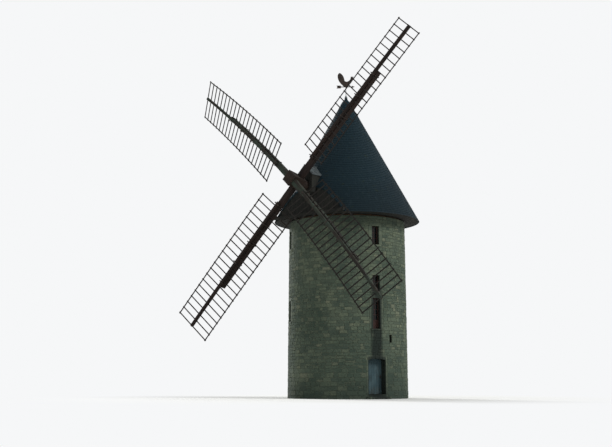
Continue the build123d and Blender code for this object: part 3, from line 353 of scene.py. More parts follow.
def weathered_timber(name, dark, middle, light, along, fibre=0.02, length=0.8, algae=None):
    """Bare timber left to the weather: long open grain, drying checks and an uneven dull tone."""
    wood = Surface(name, Roughness=0.88, Specular_IOR_Level=0.25)
    turn = RIGHT.rotation_difference(along).to_euler()
    fibres = wood.cloud((length, fibre, fibre), 5.0, turn)
    shades = ((0.30, dark), (0.52, middle), (0.74, light))
    wood.colour = add(wood.tree, "ValToRGB", {"Fac": fibres}, "Color", shades)
    tone = wood.cloud((1.8, 0.35, 0.35), 3.0, turn)
    wood.lay(dark, tone, 0.40, 0.64, 0.6)
    if algae:
        growth = wood.cloud((1.1, 0.25, 0.25), 4.0, turn)
        wood.lay(algae, growth, 0.44, 0.60, 0.7)
    checks = wood.cloud((length * 1.5, fibre * 0.4, fibre * 0.4), 3.0, turn)
    wood.lay("#0c0a09", checks, 0.64, 0.69, 0.85)
    return wood.finish((fibres, 0.004), (checks, 0.003))


def soffit_pine():
    """Pine boards under the eave, grain running outwards, coloured near black as painted shade."""
    wood = Surface("pine_soffit_boards_painted_shade", Roughness=0.9, Specular_IOR_Level=0.2)
    x, y = (add(wood.tree, "SeparateXYZ", {0: wood.place}, axis) for axis in "XY")
    angle = add(wood.tree, "Math", {0: y, 1: x}, operation="ARCTAN2")
    round_eave = add(wood.tree, "Math", {0: angle, 1: EAVE_RADIUS}, operation="MULTIPLY")
    wood.place = add(wood.tree, "CombineXYZ", {0: wood.from_axis(), 1: round_eave})
    fibres = wood.cloud((0.6, 0.012, 1.0), 5.0)
    # Painted shade: the boards' near-black shades stand for the shade under the eave.
    shades = ((0.30, "#141412"), (0.55, "#242420"), (0.75, "#36362f"))
    wood.colour = add(wood.tree, "ValToRGB", {"Fac": fibres}, "Color", shades)
    tint = add(wood.tree, "Attribute", out="Fac", attribute_name="tint")
    wood.lay("#101110", tint, 0.0, 1.0, 0.5)
    return wood.finish((fibres, 0.002))


def painted_pine(name, paint, faded, bare):
    """Linseed-oil paint on pine: chalky, worn through along the upright grain and at the foot."""
    wood = Surface(name, Roughness=0.74, Specular_IOR_Level=0.3)
    wood.colour = paint
    fade = wood.cloud((0.3, 0.3, 0.5))
    wood.lay(faded, fade, 0.35, 0.65)
    fibres = wood.cloud((0.012, 0.012, 0.35), 5.0)
    level = add(wood.tree, "SeparateXYZ", {0: wood.place}, "Z")
    splashed = wood.stain((level, 0.25, 0.80, 0.17, 0.0))
    worn = add(wood.tree, "Math", {0: fibres, 1: splashed}, operation="ADD")
    wood.lay(bare, worn, 0.62, 0.72)
    grime = wood.cloud((0.10, 0.10, 0.45))
    wood.lay("#232725", grime, 0.52, 0.72, 0.55)
    return wood.finish((fibres, 0.002))


def wrought_iron():
    """Forged iron gone brown: rough scale and rust over near-black metal."""
    iron = Surface("wrought_iron_forged_and_rusted", Roughness=0.78)
    scale = iron.cloud((0.05, 0.05, 0.05), 6.0)
    shades = ((0.38, "#191715"), (0.55, "#2a201b"), (0.70, "#46301f"))
    iron.colour = add(iron.tree, "ValToRGB", {"Fac": scale}, "Color", shades)
    bare_metal = iron.stain((scale, 0.40, 0.55, 0.6, 0.0))
    pits = iron.cloud((0.008, 0.008, 0.008))
    return iron.finish((pits, 0.0015), Metallic=bare_metal)


def lead_sheet():
    """Milled lead dressed over boards: soft dents, grey patina with darker runs."""
    lead = Surface("lead_sheet_dressed_over_boards", Roughness=0.62)
    patina = lead.cloud((0.25, 0.25, 0.25), 5.0)
    shades = ((0.3, "#2a3234"), (0.7, "#434c4e"))
    lead.colour = add(lead.tree, "ValToRGB", {"Fac": patina}, "Color", shades)
    runs = lead.cloud((0.05, 0.05, 0.4))
    lead.lay("#1d2325", runs, 0.52, 0.68, 0.7)
    dents = lead.cloud((0.12, 0.12, 0.12), 3.0)
    return lead.finish((dents, 0.006))


def drawn_glass():
    """Drawn window glass, slightly wavy and dusty, dark because the room behind it is."""
    glass = Surface("window_glass_drawn", Roughness=0.18, IOR=1.52, Specular_IOR_Level=0.25)
    dust = glass.cloud((0.12, 0.12, 0.2))
    shades = ((0.35, "#070a0a"), (0.75, "#101616"))
    glass.colour = add(glass.tree, "ValToRGB", {"Fac": dust}, "Color", shades)
    waves = glass.cloud((0.15, 0.15, 0.25), 2.0)
    return glass.finish((waves, 0.002))


FRONT_GRAIN = sail_frame(FRONT_ANGLE)[0]
REAR_GRAIN = sail_frame(REAR_ANGLE)[0]
RUBBLE = limestone_rubble()
MORTAR = lime_mortar()
DRESSED = dressed_limestone()
SLATE = riven_slate()
FRONT_OAK = weathered_timber(
    "oak_stock_weathered_front", "#171513", "#2a2722", "#464438", FRONT_GRAIN, algae="#354238"
)
REAR_OAK = weathered_timber("oak_stock_weathered_rear", "#120e0c", "#251a16", "#3c2d25", REAR_GRAIN)
SHAFT_OAK = weathered_timber("oak_windshaft_hewn", "#17110e", "#2b211a", "#44362a", SHAFT_DIRECTION)
FRONT_LARCH = weathered_timber(
    "larch_bars_riven_front", "#110f0d", "#1e1b17", "#312e27", REAR_GRAIN, fibre=0.008, length=0.4
)
REAR_LARCH = weathered_timber(
    "larch_bars_riven_rear", "#110e0c", "#1f1a16", "#332b24", FRONT_GRAIN, fibre=0.008, length=0.4
)
GREY_PINE = weathered_timber("pine_boards_greyed", "#121312", "#22231f", "#3a3b33", UP, fibre=0.012)
SOFFIT_PINE = soffit_pine()
ROOM_OAK = weathered_timber("oak_sawn_indoors", "#3b2a1d", "#5d4632", "#7b6149", BACK, fibre=0.015)
BLUE_PAINT = painted_pine("pine_door_painted_blue_grey", "#2b4147", "#3b5055", "#393e38")
RED_PAINT = painted_pine("pine_joinery_painted_oxide_red", "#2a1814", "#3a231d", "#332d26")
IRON = wrought_iron()
LEAD = lead_sheet()
GLASS = drawn_glass()


# Meshes

PATTERN_TINT = 0.5


def put_in_scene(name, data):
    made = bpy.data.objects.new(name, data)
    bpy.context.scene.collection.objects.link(made)
    return made


def new_shape(name, corners, faces=()):
    mesh = bpy.data.meshes.new(name)
    mesh.from_pydata(corners, [], faces)
    return put_in_scene(name, mesh)


def oblong(left, right, near, far):
    return [(left, near), (right, near), (right, far), (left, far)]


def row(start, end, count, gap):
    """Both edges of every board or stone in a row, with a gap between each two."""
    width = (end - start) / count
    for number in range(count):
        first = start + number * width + gap / 2
        yield first, first + width - gap


class Blocks:
    """Collects closed blocks with any number of sides into one mesh."""

    def __init__(self):
        self.corners = []
        self.faces = []
        self.tints = []

    def prism(self, near, far, tint=None):
        """Adds the solid between two loops of the same number of points."""
        first = len(self.corners)
        count = len(near)
        self.corners += list(near) + list(far)
        self.faces.append([first + i for i in range(count)])
        self.faces.append([first + count + i for i in reversed(range(count))])
        for i in range(count):
            after = (i + 1) % count
            self.faces.append([first + i, first + count + i, first + count + after, first + after])
        self.tints += [rng.random() if tint is None else tint] * (count + 2)

    def upright(self, outline, near, far):
        """Adds a board with an outline, sideways and up, between two places along Y."""
        self.prism(*([Vector((x, y, z)) for x, z in outline] for y in (near, far)))

    def post(self, azimuth, plan, low, high):
        """Adds a post with a plan, sideways and from the axis, between two levels."""
        self.prism(*([beside(azimuth, v, level, u) for v, u in plan] for level in (low, high)))

    def box(self, origin, along, side, up, sizes):
        """Adds a block centred on a point, with its sizes along three directions."""
        length, width, height = (s / 2 for s in sizes)
        loop = oblong(-length, length, -width, width)
        low = [origin + along * a + side * b - up * height for a, b in loop]
        self.prism(low, [p + up * (2 * height) for p in low])

    def piece(self, name, material, bevel=0.0):
        """Turns the blocks into one object, normals outward, edges softened by a bevel."""
        made = new_shape(name, self.corners, self.faces)
        made.data.attributes.new("tint", "FLOAT", "FACE").data.foreach_set("value", self.tints)
        shape = bmesh.new()
        shape.from_mesh(made.data)
        bmesh.ops.recalc_face_normals(shape, faces=shape.faces)
        shape.to_mesh(made.data)
        shape.free()
        made.data.materials.append(material)
        if bevel:
            softened = made.modifiers.new("softened_edges", "BEVEL")
            softened.width = bevel
            softened.segments = 1
            softened.limit_method = "ANGLE"
        return made


def settle(piece, body):
    """Turns a piece's modifiers into a plain mesh, and lets it ride on its body."""
    depsgraph = bpy.context.evaluated_depsgraph_get()
    final = bpy.data.meshes.new_from_object(
        piece.evaluated_get(depsgraph), preserve_all_data_layers=True, depsgraph=depsgraph
    )
    piece.modifiers.clear()
    piece.data = final
    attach(piece, body)


def new_tree(name, **sockets):
    """A Geometry Nodes tree with a geometry input and output and named inputs of each kind."""
    tree = bpy.data.node_groups.new(name, "GeometryNodeTree")
    tree.interface.new_socket("Geometry", in_out="OUTPUT", socket_type="NodeSocketGeometry")
    for kind, labels in {"Geometry": ["Geometry"], **sockets, "Material": ["Material"]}.items():
        for label in labels:
            tree.interface.new_socket(label, in_out="INPUT", socket_type="NodeSocket" + kind)
    return tree, add(tree, "NodeGroupInput").node.outputs


def end_tree(tree, geometry, given):
    """Ends a tree: instances made real, and its material set."""
    real = add(tree, "GeometryNodeRealizeInstances", {0: geometry})
    finished = {"Geometry": real, "Material": given["Material"]}
    add(tree, "NodeGroupOutput", {0: add(tree, "GeometryNodeSetMaterial", finished)})
    return tree


def run_tree(piece, tree, values):
    """Adds the tree to a piece as a modifier, its inputs set by their identifiers."""
    modifier = piece.modifiers.new(tree.name, "NODES")
    modifier.node_group = tree
    for item in tree.interface.items_tree:
        if item.in_out == "INPUT" and item.name in values:
            modifier[item.identifier] = values[item.name]


def scatter(tree, seed, low=0.0, high=1.0):
    """A random number for every stone or copy."""
    limits = {2: low, 3: high, 7: add(tree, "GeometryNodeInputIndex"), 8: seed}
    return add(tree, "FunctionNodeRandomValue", limits, 1, data_type="FLOAT")


def store_tint(tree, geometry, seed, domain):
    """Gives every stone or copy a random tint for its material."""
    stored = {"Geometry": geometry, "Name": "tint", "Value": scatter(tree, seed)}
    return add(tree, "GeometryNodeStoreNamedAttribute", stored, data_type="FLOAT", domain=domain)


def raised_stones_tree():
    """Raises every cell of a laid-out wall into an uneven stone with a rounded edge."""
    sizes = ("Least Relief", "Most Relief", "Edge Height", "Top Size", "Wave Scale", "Unevenness")
    tree, given = new_tree("raised_stones", Float=sizes, Int=("Seed",))
    relief = scatter(tree, given["Seed"], given["Least Relief"], given["Most Relief"])
    tinted = store_tint(tree, given["Geometry"], given["Seed"], "FACE")
    face = {"Mesh": tinted, "Offset Scale": relief}
    raised = add(tree, "GeometryNodeExtrudeMesh", face).node.outputs
    top = {"Mesh": raised["Mesh"], "Selection": raised["Top"], "Offset Scale": given["Edge Height"]}
    rounded = add(tree, "GeometryNodeExtrudeMesh", top).node.outputs
    edge = {"Geometry": rounded["Mesh"], "Selection": rounded["Top"], "Scale": given["Top Size"]}
    drawn_in = add(tree, "GeometryNodeScaleElements", edge, domain="FACE")
    place = add(tree, "GeometryNodeInputPosition")
    spread = {"Vector": place, "Scale": given["Wave Scale"], "Detail": 1.0}
    waves = add(tree, "TexNoise", spread, 1)
    centred = add(tree, "VectorMath", {0: waves, 1: (0.5, 0.5, 0.5)}, operation="SUBTRACT")
    offset = add(tree, "VectorMath", {0: centred, "Scale": given["Unevenness"]}, operation="SCALE")
    return end_tree(tree, add(tree, "GeometryNodeSetPosition", {0: drawn_in, "Offset": offset}), given)


def laid_copies_tree():
    """Lays a copy of one shape on every point, turned and sized as the point says."""
    tree, given = new_tree("laid_copies", Object=("Shape",), Float=("Unevenness",), Int=("Seed",))
    shape = add(tree, "GeometryNodeObjectInfo", {"Object": given["Shape"]}, "Geometry")
    turn, size = (
        add(tree, "GeometryNodeInputNamedAttribute", {"Name": name}, data_type="FLOAT_VECTOR")
        for name in ("turn", "size")
    )
    rotation = add(tree, "FunctionNodeEulerToRotation", {0: turn})
    laying = {"Points": given["Geometry"], "Instance": shape, "Rotation": rotation, "Scale": size}
    laid = add(tree, "GeometryNodeInstanceOnPoints", laying)
    swing = {0: scatter(tree, given["Seed"], -1.0, 1.0), 1: given["Unevenness"]}
    lean = add(tree, "CombineXYZ", {"Z": add(tree, "Math", swing, operation="MULTIPLY")})
    uneven = add(tree, "GeometryNodeRotateInstances", {"Instances": laid, "Rotation": lean})
    return end_tree(tree, store_tint(tree, uneven, given["Seed"], "INSTANCE"), given)


RAISED_STONES = raised_stones_tree()
LAID_COPIES = laid_copies_tree()


def lay_copies(name, shape, places, material, unevenness, seed, body):
    """One piece with a copy of shape at each place: point, three directions, sizes."""
    made = new_shape(name, [place[0] for place in places])
    turns = made.data.attributes.new("turn", "FLOAT_VECTOR", "POINT")
    sizes = made.data.attributes.new("size", "FLOAT_VECTOR", "POINT")
    for i, (point, along, side, up, size) in enumerate(places):
        turns.data[i].vector = Matrix((along, side, up)).transposed().to_euler()
        sizes.data[i].vector = size
    values = {"Shape": shape, "Unevenness": unevenness, "Seed": seed, "Material": material}
    run_tree(made, LAID_COPIES, values)
    settle(made, body)
    bpy.data.objects.remove(shape)
    return made


# Rubble facing of the tower: stones laid in rough courses round every opening,
# the lowest ones larger. A course starts at a chance azimuth on the plain side.

PLAIN_SIDE = (100, 140)
COURSE_HEIGHTS = (0.12, 0.21)
LAST_COURSE = 0.10
STONE_LENGTHS = (0.16, 0.46)
LENGTH_SHARE, LENGTH_PER_HEIGHT = 0.5, 3.4
END_STONE = 1.45
SMALLEST_ANGLE = 0.5
FOOT_HEIGHT = 1.5
FOOT_SHARE = 1.35
JOINT = 0.016
LEAST_STONE = 0.05
LEAST_OVERLAP = 0.004
SPLIT_SHARE = 0.16
SPLIT_HEIGHT = 0.15
SPLIT_PLACES = (0.38, 0.62)
CORNER_ALONG, LONGEST_CORNER = (0.10, 0.30), 0.22
CORNER_UP, TALLEST_CORNER = (0.12, 0.32), 0.16
CORNER_WANDER = 0.006
JAMB_STONE = 0.20


def blocked_places():
    """What takes the place of rubble: azimuth, half width, lowest and highest level."""
    low, high, half = SLIT
    places = [(ENTRANCE, SURROUND_HALF, 0.0, DOOR_HEAD), (SLIT_AZIMUTH, half, low, high)]
    for azimuth, sill, height, _ in WINDOWS:
        head = sill + height
        places.append((azimuth, WINDOW_HALF + JAMB_STONE, sill, head))
        places.append((azimuth, WINDOW_HALF + LINTEL_BEARING, head, head + LINTEL_HEIGHT))
        places.append((azimuth, WINDOW_HALF + SILL_BEARING, sill - SILL_HEIGHT, sill))
    return places


def blocked_spans(low, high, first):
    """Blocked spans of a course in order, as azimuths from first on, with their levels."""
    spans = []
    for azimuth, half, bottom, top in blocked_places():
        if bottom < high - LEAST_OVERLAP and top > low + LEAST_OVERLAP:
            angle = degrees(asin(half / BASE_RADIUS))
            start = (azimuth - angle - first) % 360 + first
            spans.append((start, start + 2 * angle, bottom, top))
    return sorted(spans)


def stone_outline(start, end, low, high):
    """Eight uneven corners of a stone's face between two azimuths and two levels."""
    length = radians(end - start) * BASE_RADIUS
    cut_along = degrees(rng.uniform(*CORNER_ALONG) * min(length, LONGEST_CORNER) / BASE_RADIUS)
    cut_up = rng.uniform(*CORNER_UP) * min(high - low, TALLEST_CORNER)
    left, right, bottom, top = start + cut_along, end - cut_along, low + cut_up, high - cut_up
    loop = [(left, low), (right, low), (end, bottom), (end, top)]
    loop += [(right, high), (left, high), (start, top), (start, bottom)]
    turn = degrees(CORNER_WANDER / BASE_RADIUS)
    corners = []
    for azimuth, level in loop:
        uneven = level + rng.uniform(-CORNER_WANDER, CORNER_WANDER)
        corners.append(on_wall(azimuth + rng.uniform(-turn, turn), min(max(uneven, 0.0), WALL_HEAD)))
    return corners


def stone_row(stones, start, end, low, high):
    """Lays stones of random length side by side between two azimuths."""
    height = high - low
    if height < LEAST_STONE:
        return
    azimuth = start
    half_joint = degrees(JOINT / 2 / BASE_RADIUS)
    while end - azimuth > SMALLEST_ANGLE:
        share = min(FOOT_SHARE, LENGTH_SHARE + height * LENGTH_PER_HEIGHT)
        length = degrees(rng.uniform(*STONE_LENGTHS) * share / BASE_RADIUS)
        if end - azimuth < length * END_STONE:
            length = end - azimuth
        last = azimuth + length
        levels = [low + JOINT / 2, high - JOINT / 2]
        if height > SPLIT_HEIGHT and rng.random() < SPLIT_SHARE:
            middle = low + height * rng.uniform(*SPLIT_PLACES)
            levels[1:1] = [middle - JOINT / 2, middle + JOINT / 2]
        for bottom, top in zip(levels[::2], levels[1::2]):
            stones.append(stone_outline(azimuth + half_joint, last - half_joint, bottom, top))
        azimuth = last


def rubble_facing():
    stones = []
    level = 0.0
    while level < WALL_HEAD:
        share = FOOT_SHARE if level < FOOT_HEIGHT else 1.0
        top = level + rng.uniform(*COURSE_HEIGHTS) * share
        if WALL_HEAD - top < LAST_COURSE:
            top = WALL_HEAD
        first = azimuth = rng.uniform(*PLAIN_SIDE)
        for start, end, bottom, cap in blocked_spans(level, top, first):
            if start > azimuth:
                stone_row(stones, azimuth, start, level, top)
            if cap < top - LEAST_STONE:
                stone_row(stones, max(start, azimuth), end, cap, top)
            if bottom > level + LEAST_STONE:
                stone_row(stones, max(start, azimuth), end, level, bottom)
            azimuth = max(azimuth, end)
        stone_row(stones, azimuth, first + 360, level, top)
        level = top
    corners = [corner for stone in stones for corner in stone]
    sides = len(stones[0])
    faces = [range(sides * i, sides * (i + 1)) for i in range(len(stones))]
    made = new_shape("rubble_facing", corners, faces)
    values = {
        "Least Relief": 0.007,
        "Most Relief": 0.020,
        "Edge Height": 0.008,
        "Top Size": 0.85,
        "Wave Scale": 7.0,
        "Unevenness": 0.012,
        "Seed": 11,
        "Material": RUBBLE,
    }
    run_tree(made, RAISED_STONES, values)
    settle(made, "tower")


rubble_facing()

# Dressed stones round the doorway and the windows: jambs, heads and lintels, laid as
# facings that stand proud of the wall and line the reveals

FACE_PROUD = 0.020
REVEAL_SKIN = 0.006
DOOR_COURSES = 6
DOOR_SPREAD = DOOR_HALF + 0.09
JAMB_LEVEL = 1.0
JAMB_BACK = REVEAL_BACK + 0.01
JAMB_OUTER_BACK = JAMB_BACK + 0.04
HEAD_STONES = 5
HEAD_BACK = REVEAL_BACK + 0.02
STONE_JOINT = 0.008
STONE_EDGE = 0.006
JAMB_HEIGHT = 0.28
JAMB_RECESS = 0.012
LINTEL_FACES = (0.032, -0.048)


def door_stones(stones):
    front = face_distance(DOOR_SPREAD, JAMB_LEVEL)
    splayed = DOOR_HALF + (front - REVEAL_BACK) * tan(radians(REVEAL_SPLAY))
    outer = SURROUND_HALF - STONE_JOINT / 2
    for side in (-1, 1):
        plan = (
            (side * (DOOR_HALF - REVEAL_SKIN), JAMB_BACK),
            (side * (splayed - REVEAL_SKIN), front + FACE_PROUD),
            (side * outer, face_distance(outer, JAMB_LEVEL) + FACE_PROUD),
            (side * outer, JAMB_OUTER_BACK),
        )
        for low, high in row(THRESHOLD, DOOR_SPRINGING, DOOR_COURSES, STONE_JOINT):
            stones.post(ENTRANCE, plan, low, high)
    for number in range(HEAD_STONES):
        loop = []
        for share, high in ((0, False), (1, False), (1, True), (0, True)):
            inset = STONE_JOINT / 2 if share == 0 else -STONE_JOINT / 2
            reach = outer if high else DOOR_SPREAD
            sideways = (2 * (number + share) / HEAD_STONES - 1) * reach + inset
            arch = DOOR_SPRINGING + DOOR_CAMBER * (1 - (sideways / DOOR_SPREAD) ** 2) - REVEAL_SKIN
            loop.append((sideways, DOOR_HEAD - STONE_JOINT / 2 if high else arch))
        near = [beside(ENTRANCE, v, z, face_distance(v, z) + FACE_PROUD) for v, z in loop]
        stones.prism(near, [beside(ENTRANCE, v, z, HEAD_BACK) for v, z in loop])


def window_stones(stones, azimuth, sill, window_height):
    head = sill + window_height
    count = max(2, round(window_height / JAMB_HEIGHT))
    inner, outer = WINDOW_HALF - REVEAL_SKIN, WINDOW_HALF + JAMB_STONE - JAMB_RECESS
    for side in (-1, 1):
        for low, high in row(sill, head, count, STONE_JOINT):
            loops = []
            for level in (low, high):
                fronts = [face_distance(v, level) + FACE_PROUD for v in (inner, outer)]
                back = face_distance(inner, level) - WINDOW_REVEAL + JAMB_RECESS
                plan = [(inner, back), (inner, fronts[0]), (outer, fronts[1]), (outer, back)]
                loops.append([beside(azimuth, side * v, level, u) for v, u in plan])
            stones.prism(*loops)
    reach = WINDOW_HALF + LINTEL_BEARING - STONE_JOINT
    loops = []
    for level in (head + STONE_JOINT / 2, head + LINTEL_HEIGHT - STONE_JOINT / 2):
        near, far = (face_distance(reach, level) + face for face in LINTEL_FACES)
        plan = oblong(-reach, reach, near, far)
        loops.append([beside(azimuth, v, level, u) for v, u in plan])
    stones.prism(*loops)


def dressed_facing():
    stones = Blocks()
    door_stones(stones)
    for azimuth, sill, height, _ in WINDOWS:
        window_stones(stones, azimuth, sill, height)
    settle(stones.piece("dressed_jambs_and_lintels", DRESSED, STONE_EDGE), "tower")


dressed_facing()

# Slates of the conical roof, trimmed at the flat front and round the dormer

SLATE_GAUGE = 0.130
SLATE_WIDTH = 0.215
SLATE_THICKNESS = 0.012
SLATE_LIFT = 0.018
SLATE_BED = 0.002
SLATE_GAP = 0.005
SLATE_CLIP = 0.08
SLATE_LAP = 1.1
SLATE_TWIST, SLATE_SEED = 0.012, 23
LEAST_SLATES = 8
BARE_APEX = 0.30
EAVE_OVERHANG = 0.025
PAST_FRONT = 0.11
FRONT_TRIM = 0.03
DORMER_TRIM = (0.03, 0.02)


def slate_shape():
    """One slate's exposed leaf, a unit wide and high, with clipped lower corners."""
    leaf = Blocks()
    left = [(-0.5, 0), (-0.5, SLATE_CLIP - SLATE_LAP), (SLATE_CLIP - 0.5, -SLATE_LAP)]
    outline = left + [(-x, y) for x, y in reversed(left)]
    leaf.prism(*([Vector((x, y, z)) for x, y in outline] for z in (0, 1)), PATTERN_TINT)
    return leaf.piece("slate_pattern", SLATE)


def under_dormer(point):
    """Whether a point of the cone lies below the dormer's roof."""
    aside, above = DORMER_TRIM
    top = DORMER_EAVE + DORMER_RISE * (1 - abs(point.x) / DORMER_HALF) + above
    return abs(point.x) < DORMER_HALF - aside and point.y < 0 and top > point.z


def roof_slates():
    slope_length = hypot(EAVE_RADIUS, APEX_LEVEL - EAVE_LEVEL)
    slope = atan2(APEX_LEVEL - EAVE_LEVEL, EAVE_RADIUS)
    places = []
    for course in range(1, int((slope_length - BARE_APEX) / SLATE_GAUGE) + 1):
        up_slope = course * SLATE_GAUGE - EAVE_OVERHANG
        radius = EAVE_RADIUS - up_slope * cos(slope)
        level = EAVE_LEVEL + up_slope * sin(slope)
        widest = radius + SLATE_GAUGE * cos(slope)
        count = max(LEAST_SLATES, round(2 * pi * widest / SLATE_WIDTH))
        size = (2 * pi * widest / count - SLATE_GAP, SLATE_GAUGE, SLATE_THICKNESS)
        start = rng.uniform(0, 360 / count)
        for number in range(count):
            azimuth = start + number * 360 / count
            side = across(azimuth)
            up = UP * sin(slope) - outward(azimuth) * cos(slope)
            out = outward(azimuth) * sin(slope) + UP * cos(slope)
            point = outward(azimuth) * radius + UP * level
            middle = point - up * (SLATE_GAUGE / 2)
            if -middle.y < FRONT_DISTANCE + PAST_FRONT and not under_dormer(middle):
                tipped = (up - out * (SLATE_LIFT / SLATE_GAUGE)).normalized()
                places.append((point + out * SLATE_BED, side, tipped, side.cross(tipped), size))
    made = lay_copies("roof_slates", slate_shape(), places, SLATE, SLATE_TWIST, SLATE_SEED, "cap")
    trimmed = bmesh.new()
    trimmed.from_mesh(made.data)
    cut = bmesh.ops.bisect_plane(
        trimmed,
        geom=trimmed.verts[:] + trimmed.edges[:] + trimmed.faces[:],
        plane_co=(0, -FRONT_DISTANCE - FRONT_TRIM, 0),
        plane_no=(0, -1, 0),
        clear_outer=True,
    )
    edges = [e for e in cut["geom_cut"] if isinstance(e, bmesh.types.BMEdge)]
    bmesh.ops.holes_fill(trimmed, edges=edges)
    trimmed.to_mesh(made.data)
    trimmed.free()


roof_slates()

# Boards of the cap's flat front, the slates along its curved edge, and the soffit's boards

BOARD_WIDTH = 0.17
BOARD_GAP = 0.006
BOARD_EDGE = 0.003
BOARD_THICKNESS = (0.018, 0.024)
BOARD_BED = 0.004
BOARD_FOOT = FRONT_FOOT + 0.01
BOARD_HEAD = DORMER_FLOOR + 0.01
SHORTEST_BOARD = 0.02
VERGE_INSET = 0.02
VERGE_STEPS = 14
VERGE_ENDS = (DORMER_HALF + 0.02, FRONT_HALF - 0.03)
VERGE_WIDTH = 0.06
VERGE_PROUD = 0.03
VERGE_FACES = (-FRONT_DISTANCE - 0.045, -FRONT_DISTANCE - 0.005)
SOFFIT_BOARDS = 110
SOFFIT_GAP = 0.20
SOFFIT_OUTER = EAVE_RADIUS - 0.075
SOFFIT_DROP = (0.004, 0.008)
FRONT_MARGIN = 0.005


def verge_level(sideways):
    """Level of the cone's edge on the flat front, at a place beside the middle."""
    return APEX_LEVEL - ROOF_SLOPE * hypot(sideways, FRONT_DISTANCE)


def front_boards():
    boards = Blocks()
    count = ceil(2 * FRONT_HALF / BOARD_WIDTH)
    for left, right in row(-FRONT_HALF, FRONT_HALF, count, BOARD_GAP):
        thickness = rng.uniform(*BOARD_THICKNESS)
        if min(verge_level(left), verge_level(right)) < BOARD_FOOT + SHORTEST_BOARD:
            continue
        loop = [(left, BOARD_FOOT), (right, BOARD_FOOT)]
        if right > -DORMER_HALF and left < DORMER_HALF:
            loop += [(x, BOARD_HEAD) for x in (right, left)]
        else:
            loop += [(x, verge_level(x) - VERGE_INSET) for x in (right, (left + right) / 2, left)]
        boards.upright(loop, -FRONT_DISTANCE - thickness, -FRONT_DISTANCE + BOARD_BED)
    settle(boards.piece("front_boards", GREY_PINE, BOARD_EDGE), "cap")


def verge_slates():
    """Narrow slates laid over the cut edge of the courses, down both sides of the front."""
    strip = Blocks()
    start, end = VERGE_ENDS
    for side in (-1, 1):
        edges = []
        for step in range(VERGE_STEPS + 1):
            x = start + (end - start) * step / VERGE_STEPS
            normal = Vector((ROOF_SLOPE * x / hypot(x, FRONT_DISTANCE), 0, 1)).normalized()
            edge = Vector((x, 0, verge_level(x)))
            edges.append((edge - normal * VERGE_WIDTH, edge + normal * VERGE_PROUD))
        for (low, high), (next_low, next_high) in zip(edges, edges[1:]):
            loop = [(side * p.x, p.z) for p in (low, high, next_high, next_low)]
            strip.upright(loop, *VERGE_FACES)
    settle(strip.piece("verge_slates", SLATE), "cap")


def soffit_boards():
    boards = Blocks()
    for start, end in row(0, 360, SOFFIT_BOARDS, SOFFIT_GAP):
        loop = [(start, SOFFIT_INNER), (start, SOFFIT_OUTER), (end, SOFFIT_OUTER), (end, SOFFIT_INNER)]
        points = [outward(a) * r for a, r in loop]
        if min(p.y for p in points) < -FRONT_DISTANCE + FRONT_MARGIN:
            continue
        drop = rng.uniform(*SOFFIT_DROP)
        near = [p + UP * (SOFFIT_BASE - drop) for p in points]
        boards.prism(near, [p + UP * (SOFFIT_BASE + BOARD_BED) for p in points])
    settle(boards.piece("soffit_boards", SOFFIT_PINE), "cap")


front_boards()
verge_slates()
soffit_boards()

# Dormer: upright boards on its cheeks and front, lead rolls on its roof

CHEEK_BOARDS = 5
CHEEK_END = -DORMER_FRONT + 0.85
DORMER_FRONT_BOARDS = 6
DORMER_BOARD_THICKNESS = (0.014, 0.018)
BELOW_EAVE = 0.01
BELOW_DORMER_ROOF = 0.03
DORMER_BED = 0.002
ROLL_PLACES = (-3.42, -3.10, -2.78)
ROLL_SIZE = (0.04, 0.03)
ROLL_RISE = 0.008
ROLL_EDGE = 0.010
RIDGE_MIDDLE = -3.02
RIDGE_ROLL_SIZE = (1.0, 0.07, 0.05)


def dormer_boards():
    boards = Blocks()
    for side in (-1, 1):
        for near, far in row(-DORMER_FRONT, CHEEK_END, CHEEK_BOARDS, BOARD_GAP):
            inner, outer = DORMER_HALF, DORMER_HALF + rng.uniform(*DORMER_BOARD_THICKNESS)
            plan = oblong(side * inner, side * outer, near, far)
            levels = (DORMER_FLOOR, DORMER_EAVE - BELOW_EAVE)
            boards.prism(*([Vector((x, y, z)) for x, y in plan] for z in levels))
    neck_level = HUB.z - (-HUB.y - DORMER_FRONT) * tan(radians(SHAFT_TILT))
    for left, right in row(-DORMER_HALF, DORMER_HALF, DORMER_FRONT_BOARDS, BOARD_GAP):
        proud = rng.uniform(*DORMER_BOARD_THICKNESS)
        nearest = 0.0 if left < 0 < right else min(abs(left), abs(right))
        tops = [
            (x, DORMER_EAVE + DORMER_RISE * (1 - abs(x) / DORMER_HALF) - BELOW_DORMER_ROOF)
            for x in (right, left)
        ]
        foot = [(left, DORMER_FLOOR), (right, DORMER_FLOOR)]
        loops = [foot + tops]
        if nearest < NECK_HOLE:
            cut = (NECK_HOLE**2 - nearest**2) ** 0.5
            loops = [
                foot + [(right, neck_level - cut), (left, neck_level - cut)],
                [(left, neck_level + cut), (right, neck_level + cut)] + tops,
            ]
        for loop in loops:
            boards.upright(loop, -DORMER_FRONT - proud, -DORMER_FRONT + DORMER_BED)
    settle(boards.piece("dormer_boards", GREY_PINE, BOARD_EDGE), "cap")


